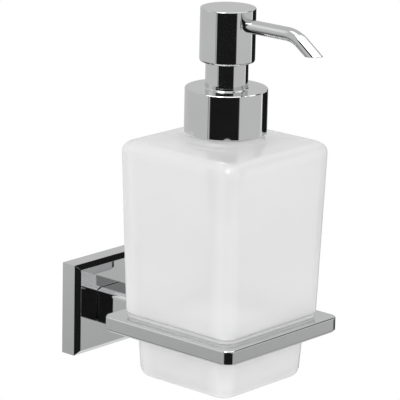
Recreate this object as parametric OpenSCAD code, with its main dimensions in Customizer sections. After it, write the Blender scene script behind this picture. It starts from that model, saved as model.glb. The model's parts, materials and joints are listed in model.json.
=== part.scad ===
// Wall mounted soap dispenser: square plate, arm and ring, frosted bottle, pump
// Millimetres. Origin: centre of the back of the wall plate, on the wall.
// +Y points into the wall, -Y out into the room, +Z up, +X to the right.

/* [Wall plate] */
// Side of the square wall plate
plate_side = 43.2; // [42.4:0.1:46]
// Depth of the wall plate from the wall to its front face
plate_depth = 9.6; // [9.4:0.1:11]
// Wall thickness of the plate's four sides
plate_wall = 2.2; // [1.8:0.1:2.4]
// Thickness of the plate's front wall
plate_face = 2.5; // [2.2:0.1:2.7]
// Width of the bevel round the front face, seen from the front
bevel_width = 2.3; // [1.2:0.1:2.6]
// Depth of that bevel
bevel_depth = 1.5; // [0.8:0.1:1.8]

/* [Wall bracket] */
// Thickness of the pressed steel bracket
bracket_thickness = 2; // [1.6:0.1:2.2]
// Width of the bracket
bracket_width = 31; // [29:0.5:34]
// Distance between the two wall screw holes
wall_hole_spacing = 23; // [21:0.5:23.5]
// Diameter of the two wall screw holes
wall_hole_d = 4.5; // [4:0.1:5]
// Width of the bracket's upper and lower lips
lip_width = 16; // [12:0.5:20]

/* [Arm] */
// Side of the square arm
arm_side = 17.2; // [16.6:0.1:18.2]
// Radius of the arm's four long edges
arm_edge_r = 2.6; // [1:0.1:3]
// Length of the arm between the wall plate and the ring
arm_length = 30.7; // [29.4:0.1:42]
// Side of the square key on the arm's back end
arm_key_side = 9; // [8:0.1:9.4]

/* [Ring] */
// Width of the ring's four bars seen from above
ring_bar = 7.85; // [7.55:0.05:9.35]
// Height of the ring
ring_height = 6.45; // [6:0.05:7]
// Height of the ring's top face above the arm's centre line
ring_top = 8.95; // [8.7:0.05:9.3]
// Radius of the ring's outer corners seen from above
ring_corner_r = 4.1; // [2.5:0.1:7]
// Radius of the ring's rounded lower outer edge
ring_edge_r = 1.4; // [0.6:0.1:1.8]
// Distance between the two screws that hold the ring on the arm
ring_screw_spacing = 8; // [7:0.1:8.6]

/* [Liner] */
// Thickness of the liner's skirt inside the ring
liner_wall = 0.95; // [0.7:0.05:1.2]
// Thickness of the liner's flange on top of the ring
liner_flange = 1; // [0.7:0.05:1.4]
// How far the liner's flange stands out past its skirt
liner_lip = 1.5; // [1.2:0.05:2.1]

/* [Bottle] */
// Side of the narrow lower part just under the step
waist_side = 56.9; // [54:0.1:60]
// How much narrower each side of the lower part gets down to the base
lower_taper = 1.7; // [0.6:0.05:2.9]
// Width of the step between the lower and the wide part
step_width = 3.3; // [2.9:0.05:3.7]
// How much wider each side of the wide part gets up to the shoulder
upper_taper = 2.05; // [1:0.05:3.2]
// Depth of the lower part below the step
lower_depth = 28.95; // [26:0.05:34]
// Corner radius of the lower part seen from above
lower_corner_r = 6.4; // [5.5:0.1:7]
// Corner radius of the wide part seen from above
upper_corner_r = 6.1; // [5.2:0.1:7.5]
// Radius of the rounded edge at the base
base_edge_r = 3.6; // [2:0.1:4]
// Radius of the rounded edge at the step
foot_edge_r = 2.6; // [1.6:0.1:2.6]
// Radius of the rounded edge at the shoulder
shoulder_edge_r = 5; // [3:0.1:6]
// Thickness of the bottle's glass walls
glass_wall = 3.4; // [2.6:0.1:4]
// Thickness of the glass base
glass_base = 5; // [4:0.1:7]
// Distance between the collar's wall and the bottle's neck
neck_space = 3.5; // [3.2:0.05:3.8]
// Thickness of the neck's glass
neck_wall = 2.8; // [2.7:0.05:3.1]

/* [Collar] */
// Outer diameter of the chrome collar
collar_d = 36.6; // [35.8:0.1:40]
// Height of the chrome collar
collar_height = 19.9; // [19.6:0.1:21]
// Height of the collar's lower edge above the arm's centre line
collar_base = 93.5; // [93.2:0.1:94.5]
// Wall thickness of the chrome collar
collar_wall = 1.2; // [0.9:0.05:1.4]
// Outer diameter of the sleeve between collar and head
sleeve_d = 18.9; // [18.6:0.1:19.2]
// Wall thickness of the sleeve
sleeve_wall = 0.8; // [0.6:0.05:0.9]

/* [Head] */
// Outer diameter of the pump head
head_d = 24.5; // [24.2:0.1:27]
// Height of the pump head
head_height = 23.85; // [23.4:0.05:26]
// Height of the head's lower edge above the collar's top
head_gap = 11.85; // [11.7:0.05:13]
// How far the head goes down when it is pressed
press_stroke = 10.5; // [8:0.1:10.6]
// Wall thickness of the chrome head
head_wall = 1.1; // [0.9:0.05:1.2]
// Height of the spout's axis above the head's lower edge
spout_height = 17.25; // [16.8:0.05:18]

/* [Spout] */
// Outer diameter of the spout tube
spout_d = 6; // [5.4:0.1:6.2]
// Wall thickness of the spout tube
spout_wall = 0.9; // [0.6:0.05:1.1]
// Length of the straight part from the head's centre line to the bend
spout_straight = 33.6; // [28:0.1:40]
// Radius of the bend along the tube's centre line
bend_r = 14.5; // [10:0.5:20]
// Angle of the bend
bend_angle = 36.5; // [20:0.5:45]
// Length of the straight end after the bend, along the centre line
spout_end = 8; // [6:0.1:12]
// Angle of the cut end to the level
cut_tilt = 6; // [0:1:15]

/* [Pump] */
// Outer diameter of the pump barrel
barrel_d = 12.6; // [12.4:0.1:13]
// Inner diameter of the pump barrel
barrel_bore_d = 11; // [10.6:0.1:11]
// Outer diameter of the hollow stem
stem_d = 6.2; // [5.8:0.1:6.4]
// Inner diameter of the hollow stem
stem_bore_d = 3.2; // [2.8:0.1:3.4]
// Diameter of the inlet ball
inlet_ball_d = 4.4; // [4.2:0.1:4.6]
// Diameter of the outlet ball
outlet_ball_d = 4; // [3.8:0.1:4.2]
// Outer diameter of the dip tube
dip_tube_d = 6; // [5.4:0.1:6.4]
// Wall thickness of the dip tube
dip_tube_wall = 0.9; // [0.7:0.1:1.2]
// Gap between the dip tube's end and the glass floor
dip_gap = 4.5; // [3:0.5:8]
// Wire diameter of the return spring
spring_wire = 0.9; // [0.7:0.1:1]
// Length of the return spring when the head is up
spring_length = 25.5; // [24:0.5:28]
// Number of turns of the return spring
spring_turns = 8; // [6:1:9]

/* [Hidden] */

// Fits
fixed_gap = 0.03;
slide_gap = 0.05;
turn_gap = 0.1;
screw_gap = 0.1;
overcut = 1;

// Plate and bracket
plate_half = plate_side / 2;
cavity_half = plate_half - plate_wall;
cavity_depth = plate_depth - plate_face;
lip_thickness = 2;
lip_depth = cavity_depth - 1.1;
grub_r = 2;
grub_length = 4;
grub_tip_z = -cavity_half + 2.4;
grub_y = -4.6;
boss_r = 3.4;
boss_top = grub_tip_z - 0.6;

// Arm, washer and bolt
arm_half = arm_side / 2;
arm_key_length = plate_face - 0.2;
washer_r = 7.5;
washer_thickness = 1.2;
bolt_r = 3;
bolt_head_r = 5;
bolt_head_height = 3;
bolt_length = 15;
bolt_depth = 14;

// Liner, ring and their fit
glass_gap = 0.2;
liner_inner = waist_side + 2 * glass_gap;
liner_outer = liner_inner + 2 * liner_wall;
liner_side = liner_outer + 2 * liner_lip;
ring_opening = liner_outer + 2 * slide_gap;
ring_side = ring_opening + 2 * ring_bar;
liner_corner_r = lower_corner_r + glass_gap;
opening_corner_r = liner_corner_r + liner_wall + slide_gap;
ring_half = ring_side / 2;
ring_bottom = ring_top - ring_height;
ring_back_y = -plate_depth - arm_length;
reach = ring_half - ring_back_y;
ledge_y = ring_back_y - ring_bar + 0.75;
ring_screw_y = (ring_back_y + ledge_y) / 2;
ring_screw_r = 1.5;
ring_screw_head_r = 2.75;
ring_screw_head_height = 3;
ring_screw_engage = 4.3;
skirt_bottom = ring_bottom + 1;

// Bottle
step_z = ring_top + liner_flange;
base_z = step_z - lower_depth;
base_side = waist_side - 2 * lower_taper;
foot_side = waist_side + 2 * step_width;
shoulder_side = foot_side + 2 * upper_taper;
shoulder_z = collar_base - 4.05 - shoulder_edge_r;
crown_z = collar_base - 2.8;
root_r = collar_d / 2 - 1.3;
root_fillet = 2.4;
root_top = collar_base - 0.3;
neck_r = collar_d / 2 - collar_wall - neck_space;
neck_bore_r = neck_r - neck_wall;
neck_height = 14;
neck_top = collar_base + neck_height;
floor_z = base_z + glass_base;
slab = 0.02;

// Collar, closure and sleeve
collar_r = collar_d / 2;
collar_inner_r = collar_r - collar_wall;
collar_top = collar_base + collar_height;
collar_ceiling = collar_top - 1.2;
closure_base = collar_base + 0.8;
closure_inner_r = neck_r + turn_gap;
gasket_thickness = 1;
flange_r = neck_r - 1.6;
flange_base = neck_top + gasket_thickness;
flange_top = flange_base + 1.4;
sleeve_r = sleeve_d / 2;
sleeve_flange_r = sleeve_r + 2.55;
sleeve_flange_z = collar_ceiling - 0.8;
head_base = collar_top + head_gap;
sleeve_top = head_base + 2.35;

// Head and spout
head_r = head_d / 2;
head_inner_r = head_r - head_wall;
head_top = head_base + head_height;
head_ceiling = head_top - 1.2;
spout_z = head_base + spout_height;
stem_end = 6.5;
spout_r = spout_d / 2;
spout_root = 2.8;
end_trim = 0.01;
stem_top = spout_z - stem_end;
hub_base = head_base + 1.25;
hub_r = 5;
bush_base = head_base + 1.1;
bush_length = 3.4;
disc_base = spout_z - 1.5;
bend_y = -reach - spout_straight;
bend_end_y = bend_y - bend_r * sin(bend_angle);
bend_end_z = spout_z - bend_r * (1 - cos(bend_angle));
cut_y = bend_end_y - spout_end * cos(bend_angle);
cut_z = bend_end_z - spout_end * sin(bend_angle);

// Pump
barrel_r = barrel_d / 2;
barrel_bore_r = barrel_bore_d / 2;
stem_r = stem_d / 2;
stem_bore_r = stem_bore_d / 2;
barrel_neck_r = 6.9;
barrel_neck_height = 2.6;
barrel_neck_top = flange_top + barrel_neck_height;
chaplet_r = 7.9;
chaplet_depth = 7.3;
chaplet_top = barrel_neck_top + 2;
chaplet_bottom = flange_top - chaplet_depth;
piston_top = chaplet_bottom - 0.1;
piston_length = 5;
piston_bottom = piston_top - piston_length;
spring_seat = piston_bottom - spring_length;
chamber_r = inlet_ball_d / 2 + 0.7;
ball_stop_r = inlet_ball_d / 2 - 0.3;
seat_r = 1.5;
valve_depth = 6;
seat_z = spring_seat - valve_depth;
seat_rise = 1.6;
seat_angle = atan((chamber_r - seat_r) / seat_rise);
seat_apex = seat_z - seat_r / tan(seat_angle);
inlet_r = inlet_ball_d / 2;
inlet_z = seat_apex + inlet_r / sin(seat_angle) + 0.01;
outlet_r = outlet_ball_d / 2;
outlet_z = stem_top + sqrt(outlet_r * outlet_r - stem_bore_r * stem_bore_r);
tube_r = dip_tube_d / 2;
tube_top = seat_z - 2;
socket_length = 10;
socket_r = tube_r + 1.6;
tube_bottom = floor_z + dip_gap;
socket_bottom = tube_top - socket_length;
spring_r = barrel_bore_r - 0.75 - spring_wire / 2;

module at_axis() {
  translate([0, -reach, 0]) children();
}

module rounded_square(side, r) {
  square([side, side - 2 * r], center = true);
  square([side - 2 * r, side], center = true);
  for (x = [-1, 1], y = [-1, 1])
    translate([x * (side / 2 - r), y * (side / 2 - r)]) circle(r = r, $fn = 32);
}

module level(side, r, z) {
  translate([0, 0, z]) linear_extrude(height = slab) rounded_square(side, r);
}

// A solid turned round the bottle's centre line from an [r, z] outline
module turned(outline) {
  at_axis() rotate_extrude($fn = 96) polygon(outline);
}

module tube(r_out, r_in, z0, z1) {
  turned([[r_in, z0], [r_out, z0], [r_out, z1], [r_in, z1]]);
}

// ---------------------------------------------------------------- wall side

module wall_bracket() {
  color("lightsteelblue") difference() {
    union() {
      translate([-bracket_width / 2, -bracket_thickness, grub_tip_z])
        cube([bracket_width, bracket_thickness, cavity_half - grub_tip_z - 0.4]);
      translate([-lip_width / 2, -lip_depth, cavity_half - lip_thickness])
        cube([lip_width, lip_depth, lip_thickness]);
      translate([-lip_width / 2, -lip_depth, grub_tip_z])
        cube([lip_width, lip_depth, lip_thickness]);
    }
    for (x = [-1, 1])
      translate([x * wall_hole_spacing / 2, overcut, 0]) rotate([90, 0, 0])
        cylinder(r = wall_hole_d / 2, h = bracket_thickness + 2 * overcut, $fn = 48);
  }
}

// Side view of the plate as an [out, up] outline, used in both directions
module plate_outline() {
  polygon([[0, -plate_half], [plate_depth - bevel_depth, -plate_half],
           [plate_depth, -plate_half + bevel_width],
           [plate_depth, plate_half - bevel_width],
           [plate_depth - bevel_depth, plate_half], [0, plate_half]]);
}

module plate_block() {
  intersection() {
    rotate([0, 0, -90]) rotate([90, 0, 0])
      linear_extrude(height = plate_side + 2, center = true) plate_outline();
    rotate([0, 0, -90])
      linear_extrude(height = plate_side + 2, center = true) plate_outline();
  }
}

module escutcheon() {
  color("silver") difference() {
    union() {
      difference() {
        plate_block();
        translate([-cavity_half, -cavity_depth, -cavity_half])
          cube([2 * cavity_half, cavity_depth + overcut, 2 * cavity_half]);
      }
      translate([0, grub_y, -cavity_half - 0.5])
        cylinder(r = boss_r, h = boss_top + cavity_half + 0.5, $fn = 48);
    }
    translate([0, grub_y, -plate_half - overcut])
      cylinder(r = grub_r + fixed_gap, h = plate_side / 2, $fn = 48);
    translate([-arm_key_side / 2 - slide_gap, -plate_depth - overcut,
               -arm_key_side / 2 - slide_gap])
      cube([arm_key_side + 2 * slide_gap, plate_depth, arm_key_side + 2 * slide_gap]);
  }
}

module grub_screw() {
  color("dimgray") translate([0, grub_y, grub_tip_z - grub_length]) difference() {
    cylinder(r = grub_r, h = grub_length, $fn = 48);
    translate([0, 0, -overcut]) cylinder(r = 1.15, h = 2 + overcut, $fn = 6);
  }
}

module arm() {
  color("silver") difference() {
    union() {
      translate([0, -plate_depth, 0]) rotate([90, 0, 0])
        linear_extrude(height = -ledge_y - plate_depth)
          rounded_square(arm_side, arm_edge_r);
      translate([-arm_key_side / 2, -plate_depth - 0.5, -arm_key_side / 2])
        cube([arm_key_side, arm_key_length + 0.5, arm_key_side]);
    }
    translate([-arm_side, ring_back_y - ring_side, ring_bottom])
      cube([2 * arm_side, ring_side, arm_side]);
    translate([0, -plate_depth + arm_key_length + overcut, 0]) rotate([90, 0, 0])
      cylinder(r = bolt_r + fixed_gap, h = arm_key_length + bolt_depth + overcut, $fn = 48);
    for (x = [-1, 1]) translate([x * ring_screw_spacing / 2, ring_screw_y, 0]) {
      translate([0, 0, -arm_half - overcut])
        cylinder(r = ring_screw_r + screw_gap, h = arm_side, $fn = 48);
      translate([0, 0, -arm_half - overcut])
        cylinder(r = ring_screw_head_r + screw_gap,
                 h = overcut + ring_screw_head_height + 0.3, $fn = 48);
    }
  }
}

module arm_washer() {
  color("gainsboro") translate([0, -cavity_depth + washer_thickness, 0])
    rotate([90, 0, 0]) difference() {
      cylinder(r = washer_r, h = washer_thickness, $fn = 64);
      translate([0, 0, -overcut])
        cylinder(r = bolt_r + 0.2, h = washer_thickness + 2 * overcut, $fn = 48);
    }
}

module arm_bolt() {
  color("gray") translate([0, -cavity_depth + washer_thickness, 0])
    rotate([90, 0, 0]) difference() {
      union() {
        translate([0, 0, -bolt_head_height])
          cylinder(r = bolt_head_r, h = bolt_head_height, $fn = 64);
        translate([0, 0, -0.5]) cylinder(r = bolt_r, h = bolt_length + 0.5, $fn = 48);
      }
      translate([0, 0, -bolt_head_height - overcut])
        cylinder(r = 2.3, h = 2 + overcut, $fn = 6);
    }
}

// ---------------------------------------------------------------- holder

// Half section of the ring's outer edge, from its centre to the edge
module ring_section(half) {
  difference() {
    square([half, ring_height]);
    translate([half - ring_edge_r, -overcut])
      square([ring_edge_r + overcut, ring_edge_r + overcut]);
  }
  translate([half - ring_edge_r, ring_edge_r]) circle(r = ring_edge_r, $fn = 48);
}

module ring_block() {
  inner = ring_half - ring_corner_r;
  for (a = [0, 90, 180, 270]) rotate([0, 0, a]) {
    translate([0, inner, 0]) rotate([90, 0, 0])
      linear_extrude(height = 2 * inner) ring_section(ring_half);
    translate([inner, inner, 0])
      rotate_extrude(angle = 90, $fn = 64) ring_section(ring_corner_r);
  }
}

module holder_ring() {
  color("silver") difference() {
    translate([0, -reach, ring_bottom]) ring_block();
    translate([0, -reach, ring_bottom - overcut])
      linear_extrude(height = ring_height + 2 * overcut)
        rounded_square(ring_opening, opening_corner_r);
    for (x = [-1, 1]) translate([x * ring_screw_spacing / 2, ring_screw_y, ring_bottom - overcut])
      cylinder(r = ring_screw_r + fixed_gap, h = ring_screw_engage + overcut, $fn = 48);
  }
}

module ring_screws() {
  head_z = -arm_half + 0.3;
  color("gray") for (x = [-1, 1])
    translate([x * ring_screw_spacing / 2, ring_screw_y, head_z]) difference() {
      union() {
        cylinder(r = ring_screw_head_r, h = ring_screw_head_height, $fn = 48);
        cylinder(r = ring_screw_r, h = ring_bottom + ring_screw_engage - 0.3 - head_z, $fn = 48);
      }
      translate([0, 0, -overcut]) cylinder(r = 1.45, h = 1.6 + overcut, $fn = 6);
    }
}

module glass_liner() {
  color("whitesmoke", 0.6) at_axis() difference() {
    union() {
      translate([0, 0, ring_top]) linear_extrude(height = liner_flange)
        rounded_square(liner_side, liner_corner_r + (liner_side - liner_inner) / 2);
      translate([0, 0, skirt_bottom]) linear_extrude(height = ring_top - skirt_bottom + 0.2)
        rounded_square(liner_outer, liner_corner_r + liner_wall);
    }
    translate([0, 0, skirt_bottom - overcut])
      linear_extrude(height = ring_height + liner_flange + 2 * overcut)
        rounded_square(liner_inner, liner_corner_r);
  }
}

// ---------------------------------------------------------------- bottle

function lower_side(z) = base_side + (waist_side - base_side) * (z - base_z) / lower_depth;
function upper_side(z) = foot_side
  + (shoulder_side - foot_side) * (z - step_z) / (shoulder_z - step_z);

module lower_block() {
  hull() {
    for (a = [0, 30, 60, 90])
      level(lower_side(base_z) - 2 * base_edge_r * (1 - sin(a)),
            lower_corner_r - base_edge_r * (1 - sin(a)) * 0.6,
            base_z + base_edge_r * (1 - cos(a)));
    level(waist_side, lower_corner_r, step_z + 0.5);
  }
}

module upper_block() {
  hull() {
    for (a = [0, 30, 60, 90])
      level(upper_side(step_z) - 2 * foot_edge_r * (1 - sin(a)),
            upper_corner_r - foot_edge_r * (1 - sin(a)) * 0.6,
            step_z + foot_edge_r * (1 - cos(a)));
    for (a = [0, 17, 34, 51, 68, 83])
      level(shoulder_side - 2 * shoulder_edge_r * (1 - cos(a)),
            upper_corner_r - shoulder_edge_r * (1 - cos(a)) * 0.5,
            shoulder_z + shoulder_edge_r * sin(a));
    level(2 * (root_r + 2), root_r + 1.9, crown_z);
  }
}

module lower_cavity() {
  hull() {
    level(lower_side(floor_z) - 2 * glass_wall - 6, 3.5, floor_z);
    level(lower_side(floor_z) - 2 * glass_wall - 1.6, 4.4, floor_z + 0.9);
    level(lower_side(floor_z) - 2 * glass_wall, 5, floor_z + 3);
    level(waist_side - 2 * glass_wall, 5, step_z + 4);
  }
}

module upper_cavity() {
  hull() {
    level(waist_side - 2 * glass_wall - 1, 5, step_z + glass_wall);
    level(upper_side(step_z) - 2 * glass_wall, 5, step_z + glass_wall + 3);
    level(shoulder_side - 2 * glass_wall, 5, shoulder_z - 1);
    level(shoulder_side - 2 * glass_wall - 2, 5, shoulder_z + shoulder_edge_r * 0.5 - 1.5);
    level(shoulder_side - 2 * glass_wall - 9, 5, shoulder_z + shoulder_edge_r - glass_wall);
    level(2 * neck_bore_r + 1, neck_bore_r, crown_z - glass_wall);
  }
}

module bottle() {
  root = [for (a = [0 : 10 : 90])
    [root_r + root_fillet * (1 - sin(a)), crown_z - 0.25 + root_fillet * (1 - cos(a))]];
  color("white", 0.5) difference() {
    union() {
      at_axis() lower_block();
      at_axis() upper_block();
      turned(concat([[neck_bore_r - 0.5, crown_z - 2], [root_r + root_fillet, crown_z - 2]], root,
                    [[root_r, root_top], [neck_bore_r - 0.5, root_top]]));
      tube(neck_r, neck_bore_r - 0.5, crown_z - 2, neck_top);
    }
    at_axis() lower_cavity();
    at_axis() upper_cavity();
    translate([0, -reach, shoulder_z])
      cylinder(r = neck_bore_r, h = neck_top - shoulder_z + overcut, $fn = 96);
  }
}

// ---------------------------------------------------------------- collar

module housing_gasket() {
  color("ivory") tube(neck_r - 0.4, barrel_r + 0.3, neck_top, neck_top + gasket_thickness);
}

module closure() {
  color("gainsboro") turned([
    [closure_inner_r, closure_base], [collar_inner_r - fixed_gap, closure_base],
    [collar_inner_r - fixed_gap, collar_ceiling], [sleeve_flange_r + slide_gap, collar_ceiling],
    [sleeve_flange_r + slide_gap, sleeve_flange_z], [chaplet_r + turn_gap, sleeve_flange_z],
    [chaplet_r + turn_gap, flange_top], [closure_inner_r, flange_top]]);
}

module collar_shell() {
  color("silver") turned([
    [collar_inner_r, collar_base], [collar_r - 0.3, collar_base], [collar_r, collar_base + 0.3],
    [collar_r, collar_top - 0.6], [collar_r - 0.18, collar_top - 0.18],
    [collar_r - 0.6, collar_top], [sleeve_r + slide_gap + 0.4, collar_top],
    [sleeve_r + slide_gap, collar_top - 0.4], [sleeve_r + slide_gap, collar_ceiling],
    [collar_inner_r, collar_ceiling]]);
}

module neck_sleeve() {
  color("silver") turned([
    [sleeve_r - sleeve_wall, sleeve_flange_z], [sleeve_flange_r, sleeve_flange_z],
    [sleeve_flange_r, collar_ceiling], [sleeve_r, collar_ceiling],
    [sleeve_r, sleeve_top - 0.2], [sleeve_r - 0.2, sleeve_top],
    [sleeve_r - sleeve_wall, sleeve_top]]);
}

// ---------------------------------------------------------------- pump

module pump_housing() {
  color("white") turned([
    [tube_r + fixed_gap, socket_bottom], [socket_r, socket_bottom], [socket_r, seat_z],
    [barrel_r, spring_seat - 1], [barrel_r, flange_base], [flange_r, flange_base],
    [flange_r, flange_top], [barrel_neck_r, flange_top], [barrel_neck_r, barrel_neck_top],
    [barrel_bore_r, barrel_neck_top], [barrel_bore_r, spring_seat], [ball_stop_r, spring_seat],
    [ball_stop_r, spring_seat - 0.8], [chamber_r, spring_seat - 0.8],
    [chamber_r, seat_z + seat_rise], [seat_r, seat_z], [seat_r, tube_top],
    [tube_r + fixed_gap, tube_top]]);
}

module chaplet() {
  color("lightgray") turned([
    [stem_r + 0.08, chaplet_bottom], [barrel_bore_r - fixed_gap, chaplet_bottom],
    [barrel_bore_r - fixed_gap, barrel_neck_top], [barrel_neck_r + fixed_gap, barrel_neck_top],
    [barrel_neck_r + fixed_gap, flange_top + 0.3], [chaplet_r, flange_top + 0.3],
    [chaplet_r, chaplet_top - 0.5], [chaplet_r - 0.5, chaplet_top],
    [stem_r + 0.08, chaplet_top]]);
}

module stem() {
  color("white") tube(stem_r, stem_bore_r, piston_bottom - 0.2, stem_top);
}

module piston() {
  color("lightblue") turned([
    [stem_r + fixed_gap, piston_bottom], [barrel_bore_r - 0.5, piston_bottom],
    [barrel_bore_r - slide_gap, piston_bottom + 0.5], [barrel_bore_r - slide_gap, piston_bottom + 1.5],
    [barrel_bore_r - 0.5, piston_bottom + 2], [barrel_bore_r - 0.5, piston_top - 2],
    [barrel_bore_r - slide_gap, piston_top - 1.5], [barrel_bore_r - slide_gap, piston_top - 0.5],
    [barrel_bore_r - 0.5, piston_top], [stem_r + fixed_gap, piston_top]]);
}

module return_spring() {
  length = piston_bottom - spring_seat - spring_wire;
  pitch = length / spring_turns;
  half = spring_wire / 2;
  section = [for (a = [0 : 45 : 359]) [spring_r + half * sin(a), 360 * half * cos(a) / pitch]];
  color("lightslategray")
    translate([0, -reach, spring_seat + half])
      linear_extrude(height = length, twist = -360 * spring_turns, slices = 20 * spring_turns)
        polygon([for (p = section) [p[0] * cos(p[1]), p[0] * sin(p[1])]]);
  color("lightslategray") tube(spring_r + half, spring_r - half, spring_seat, spring_seat + 0.6);
  color("lightslategray") tube(spring_r + half, spring_r - half, piston_bottom - 0.6, piston_bottom);
}

module inlet_ball() {
  color("lightcyan") translate([0, -reach, inlet_z]) sphere(r = inlet_r, $fn = 48);
}

module outlet_ball() {
  color("lightcyan") translate([0, -reach, outlet_z]) sphere(r = outlet_r, $fn = 48);
}

module dip_tube() {
  color("white", 0.7) tube(tube_r, tube_r - dip_tube_wall, tube_bottom, tube_top);
}

// ---------------------------------------------------------------- head

module head_shell() {
  rim_r = sleeve_r + 0.3;
  color("silver") difference() {
    turned([
      [rim_r, head_base], [head_r - 1.3, head_base], [head_r - 0.5, head_base + 0.45],
      [head_r, head_base + 1.4], [head_r, head_top - 0.7], [head_r - 0.2, head_top - 0.2],
      [head_r - 0.7, head_top], [0, head_top], [0, head_ceiling], [head_inner_r, head_ceiling],
      [head_inner_r, bush_base], [rim_r, bush_base]]);
    translate([0, -reach, spout_z]) rotate([90, 0, 0])
      cylinder(r = spout_r + slide_gap, h = head_r + overcut, $fn = 48);
  }
}

module actuator() {
  color("white") difference() {
    union() {
      tube(head_inner_r - fixed_gap, 0, disc_base, head_ceiling);
      tube(hub_r, 0, hub_base, disc_base + 1);
      intersection() {
        translate([0, -reach, spout_z]) rotate([90, 0, 0])
          cylinder(r = spout_r + 1.1, h = head_inner_r, $fn = 48);
        tube(head_inner_r - fixed_gap, 0, hub_base, head_ceiling);
      }
    }
    translate([0, -reach, hub_base - overcut])
      cylinder(r = stem_r + fixed_gap, h = stem_top - hub_base + overcut, $fn = 48);
    translate([0, -reach, stem_top - 0.1])
      cylinder(r = outlet_r + 0.4, h = spout_z - stem_top, $fn = 48);
    translate([0, -reach, spout_z]) rotate([90, 0, 0])
      cylinder(r = spout_r - spout_wall, h = head_r, $fn = 48);
    translate([0, -reach - spout_root, spout_z]) rotate([90, 0, 0])
      cylinder(r = spout_r + fixed_gap, h = head_r, $fn = 48);
  }
}

module guide_bush() {
  color("lightgray") tube(head_inner_r - fixed_gap, sleeve_r + slide_gap,
                          bush_base, bush_base + bush_length);
}

// The spout tube's cross section, thinner on both sides by the given amount
module tube_section(less = 0) {
  difference() {
    circle(r = spout_r - less, $fn = 48);
    circle(r = spout_r - spout_wall + less, $fn = 48);
  }
}

module spout() {
  color("silver") difference() {
    union() {
      translate([0, -reach - spout_root, spout_z]) rotate([90, 0, 0])
        linear_extrude(height = spout_straight - spout_root) tube_section();
      translate([0, bend_y, spout_z - bend_r]) rotate([180, -90, 0])
        rotate_extrude(angle = bend_angle, $fn = 96) translate([bend_r, 0]) tube_section();
      translate([0, bend_end_y, bend_end_z]) rotate([90 + bend_angle, 0, 0])
        translate([0, 0, -0.3]) linear_extrude(height = 2 * spout_end) tube_section(end_trim);
    }
    translate([0, cut_y, cut_z]) rotate([-cut_tilt, 0, 0])
      translate([-bend_r, -2 * bend_r, -2 * bend_r]) cube([2 * bend_r, 4 * bend_r, 2 * bend_r]);
  }
}

wall_bracket();
escutcheon();
grub_screw();
arm();
arm_washer();
arm_bolt();
holder_ring();
ring_screws();
glass_liner();
bottle();
housing_gasket();
closure();
collar_shell();
neck_sleeve();
pump_housing();
chaplet();
stem();
piston();
return_spring();
inlet_ball();
outlet_ball();
dip_tube();
head_shell();
actuator();
guide_bush();
spout();
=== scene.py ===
"""Wall mounted soap dispenser: finished meshes, materials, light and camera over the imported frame.

All sizes in the classes are millimetres, apart from those of the finishes, which are metres.
The frame's origin is the centre of the wall plate's back: +Y runs into the wall, -Y out into
the room, +Z up.
"""

import json
import logging
import math
from dataclasses import dataclass
from enum import Enum
from functools import cache
from typing import Callable, Sequence

import bmesh
import bpy
from mathutils import Matrix, Vector

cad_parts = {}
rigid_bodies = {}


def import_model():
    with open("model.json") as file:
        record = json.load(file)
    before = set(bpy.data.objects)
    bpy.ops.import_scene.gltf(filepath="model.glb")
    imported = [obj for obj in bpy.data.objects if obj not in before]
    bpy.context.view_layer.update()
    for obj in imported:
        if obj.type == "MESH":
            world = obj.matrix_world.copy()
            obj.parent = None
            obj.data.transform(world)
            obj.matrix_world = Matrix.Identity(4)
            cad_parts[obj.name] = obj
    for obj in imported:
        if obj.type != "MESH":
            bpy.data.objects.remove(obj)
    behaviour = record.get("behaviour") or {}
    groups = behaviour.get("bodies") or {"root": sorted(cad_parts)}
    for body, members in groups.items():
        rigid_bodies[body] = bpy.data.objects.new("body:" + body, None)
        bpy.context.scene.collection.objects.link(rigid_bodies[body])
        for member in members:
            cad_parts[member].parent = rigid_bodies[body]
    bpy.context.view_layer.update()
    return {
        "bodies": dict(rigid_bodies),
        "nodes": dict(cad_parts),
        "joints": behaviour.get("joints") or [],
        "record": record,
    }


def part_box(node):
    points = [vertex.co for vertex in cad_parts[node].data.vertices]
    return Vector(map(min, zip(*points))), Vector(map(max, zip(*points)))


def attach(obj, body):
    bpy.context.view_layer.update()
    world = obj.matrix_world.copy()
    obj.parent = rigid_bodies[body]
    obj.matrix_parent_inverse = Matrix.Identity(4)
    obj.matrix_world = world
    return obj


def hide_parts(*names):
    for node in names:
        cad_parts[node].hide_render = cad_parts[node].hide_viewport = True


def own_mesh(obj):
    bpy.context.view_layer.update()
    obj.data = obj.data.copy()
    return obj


LOG = logging.getLogger("soap_dispenser")
MM = 0.001
TURN = 2 * math.pi
CORNER_STEPS = 16  # segments in each corner of a rounded square
ARC_STEPS = 8  # segments in each quarter of an arc whose points are laid out one by one
PAST = 1.0  # how far a cutter reaches past the surface it cuts
NOISE_RANGE = (0.3, 0.7)  # between these values a noise moves a finish from end to end
Loop = list[Vector]
Outline = list[tuple[float, float]]
Colour = tuple[float, float, float]
Squares = tuple[tuple[float, float, float], ...]
Object = bpy.types.Object
Material = bpy.types.Material
Socket = bpy.types.NodeSocket


class Body(Enum):
    """The rigid bodies that pieces ride on."""

    WALL = "wall_base"
    BOTTLE = "bottle"
    PUMP = "pump"
    COLLAR = "collar"
    PLUNGER = "plunger"
    HEAD = "head"


class Shape(Enum):
    """How a stack of loops is closed."""

    RING = "the last loop joins the first"
    CAPPED = "both ends are closed by a fan"


# ------------------------------------------------------------------ outlines


@dataclass(frozen=True)
class Corner:
    """One corner of an outline and the radius that rounds it."""

    out: float
    up: float
    radius: float = 0.15


def rotated(x: float, y: float, angle: float) -> tuple[float, float]:
    """A plane point turned round the origin."""
    return (x * math.cos(angle) - y * math.sin(angle), x * math.sin(angle) + y * math.cos(angle))


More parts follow.
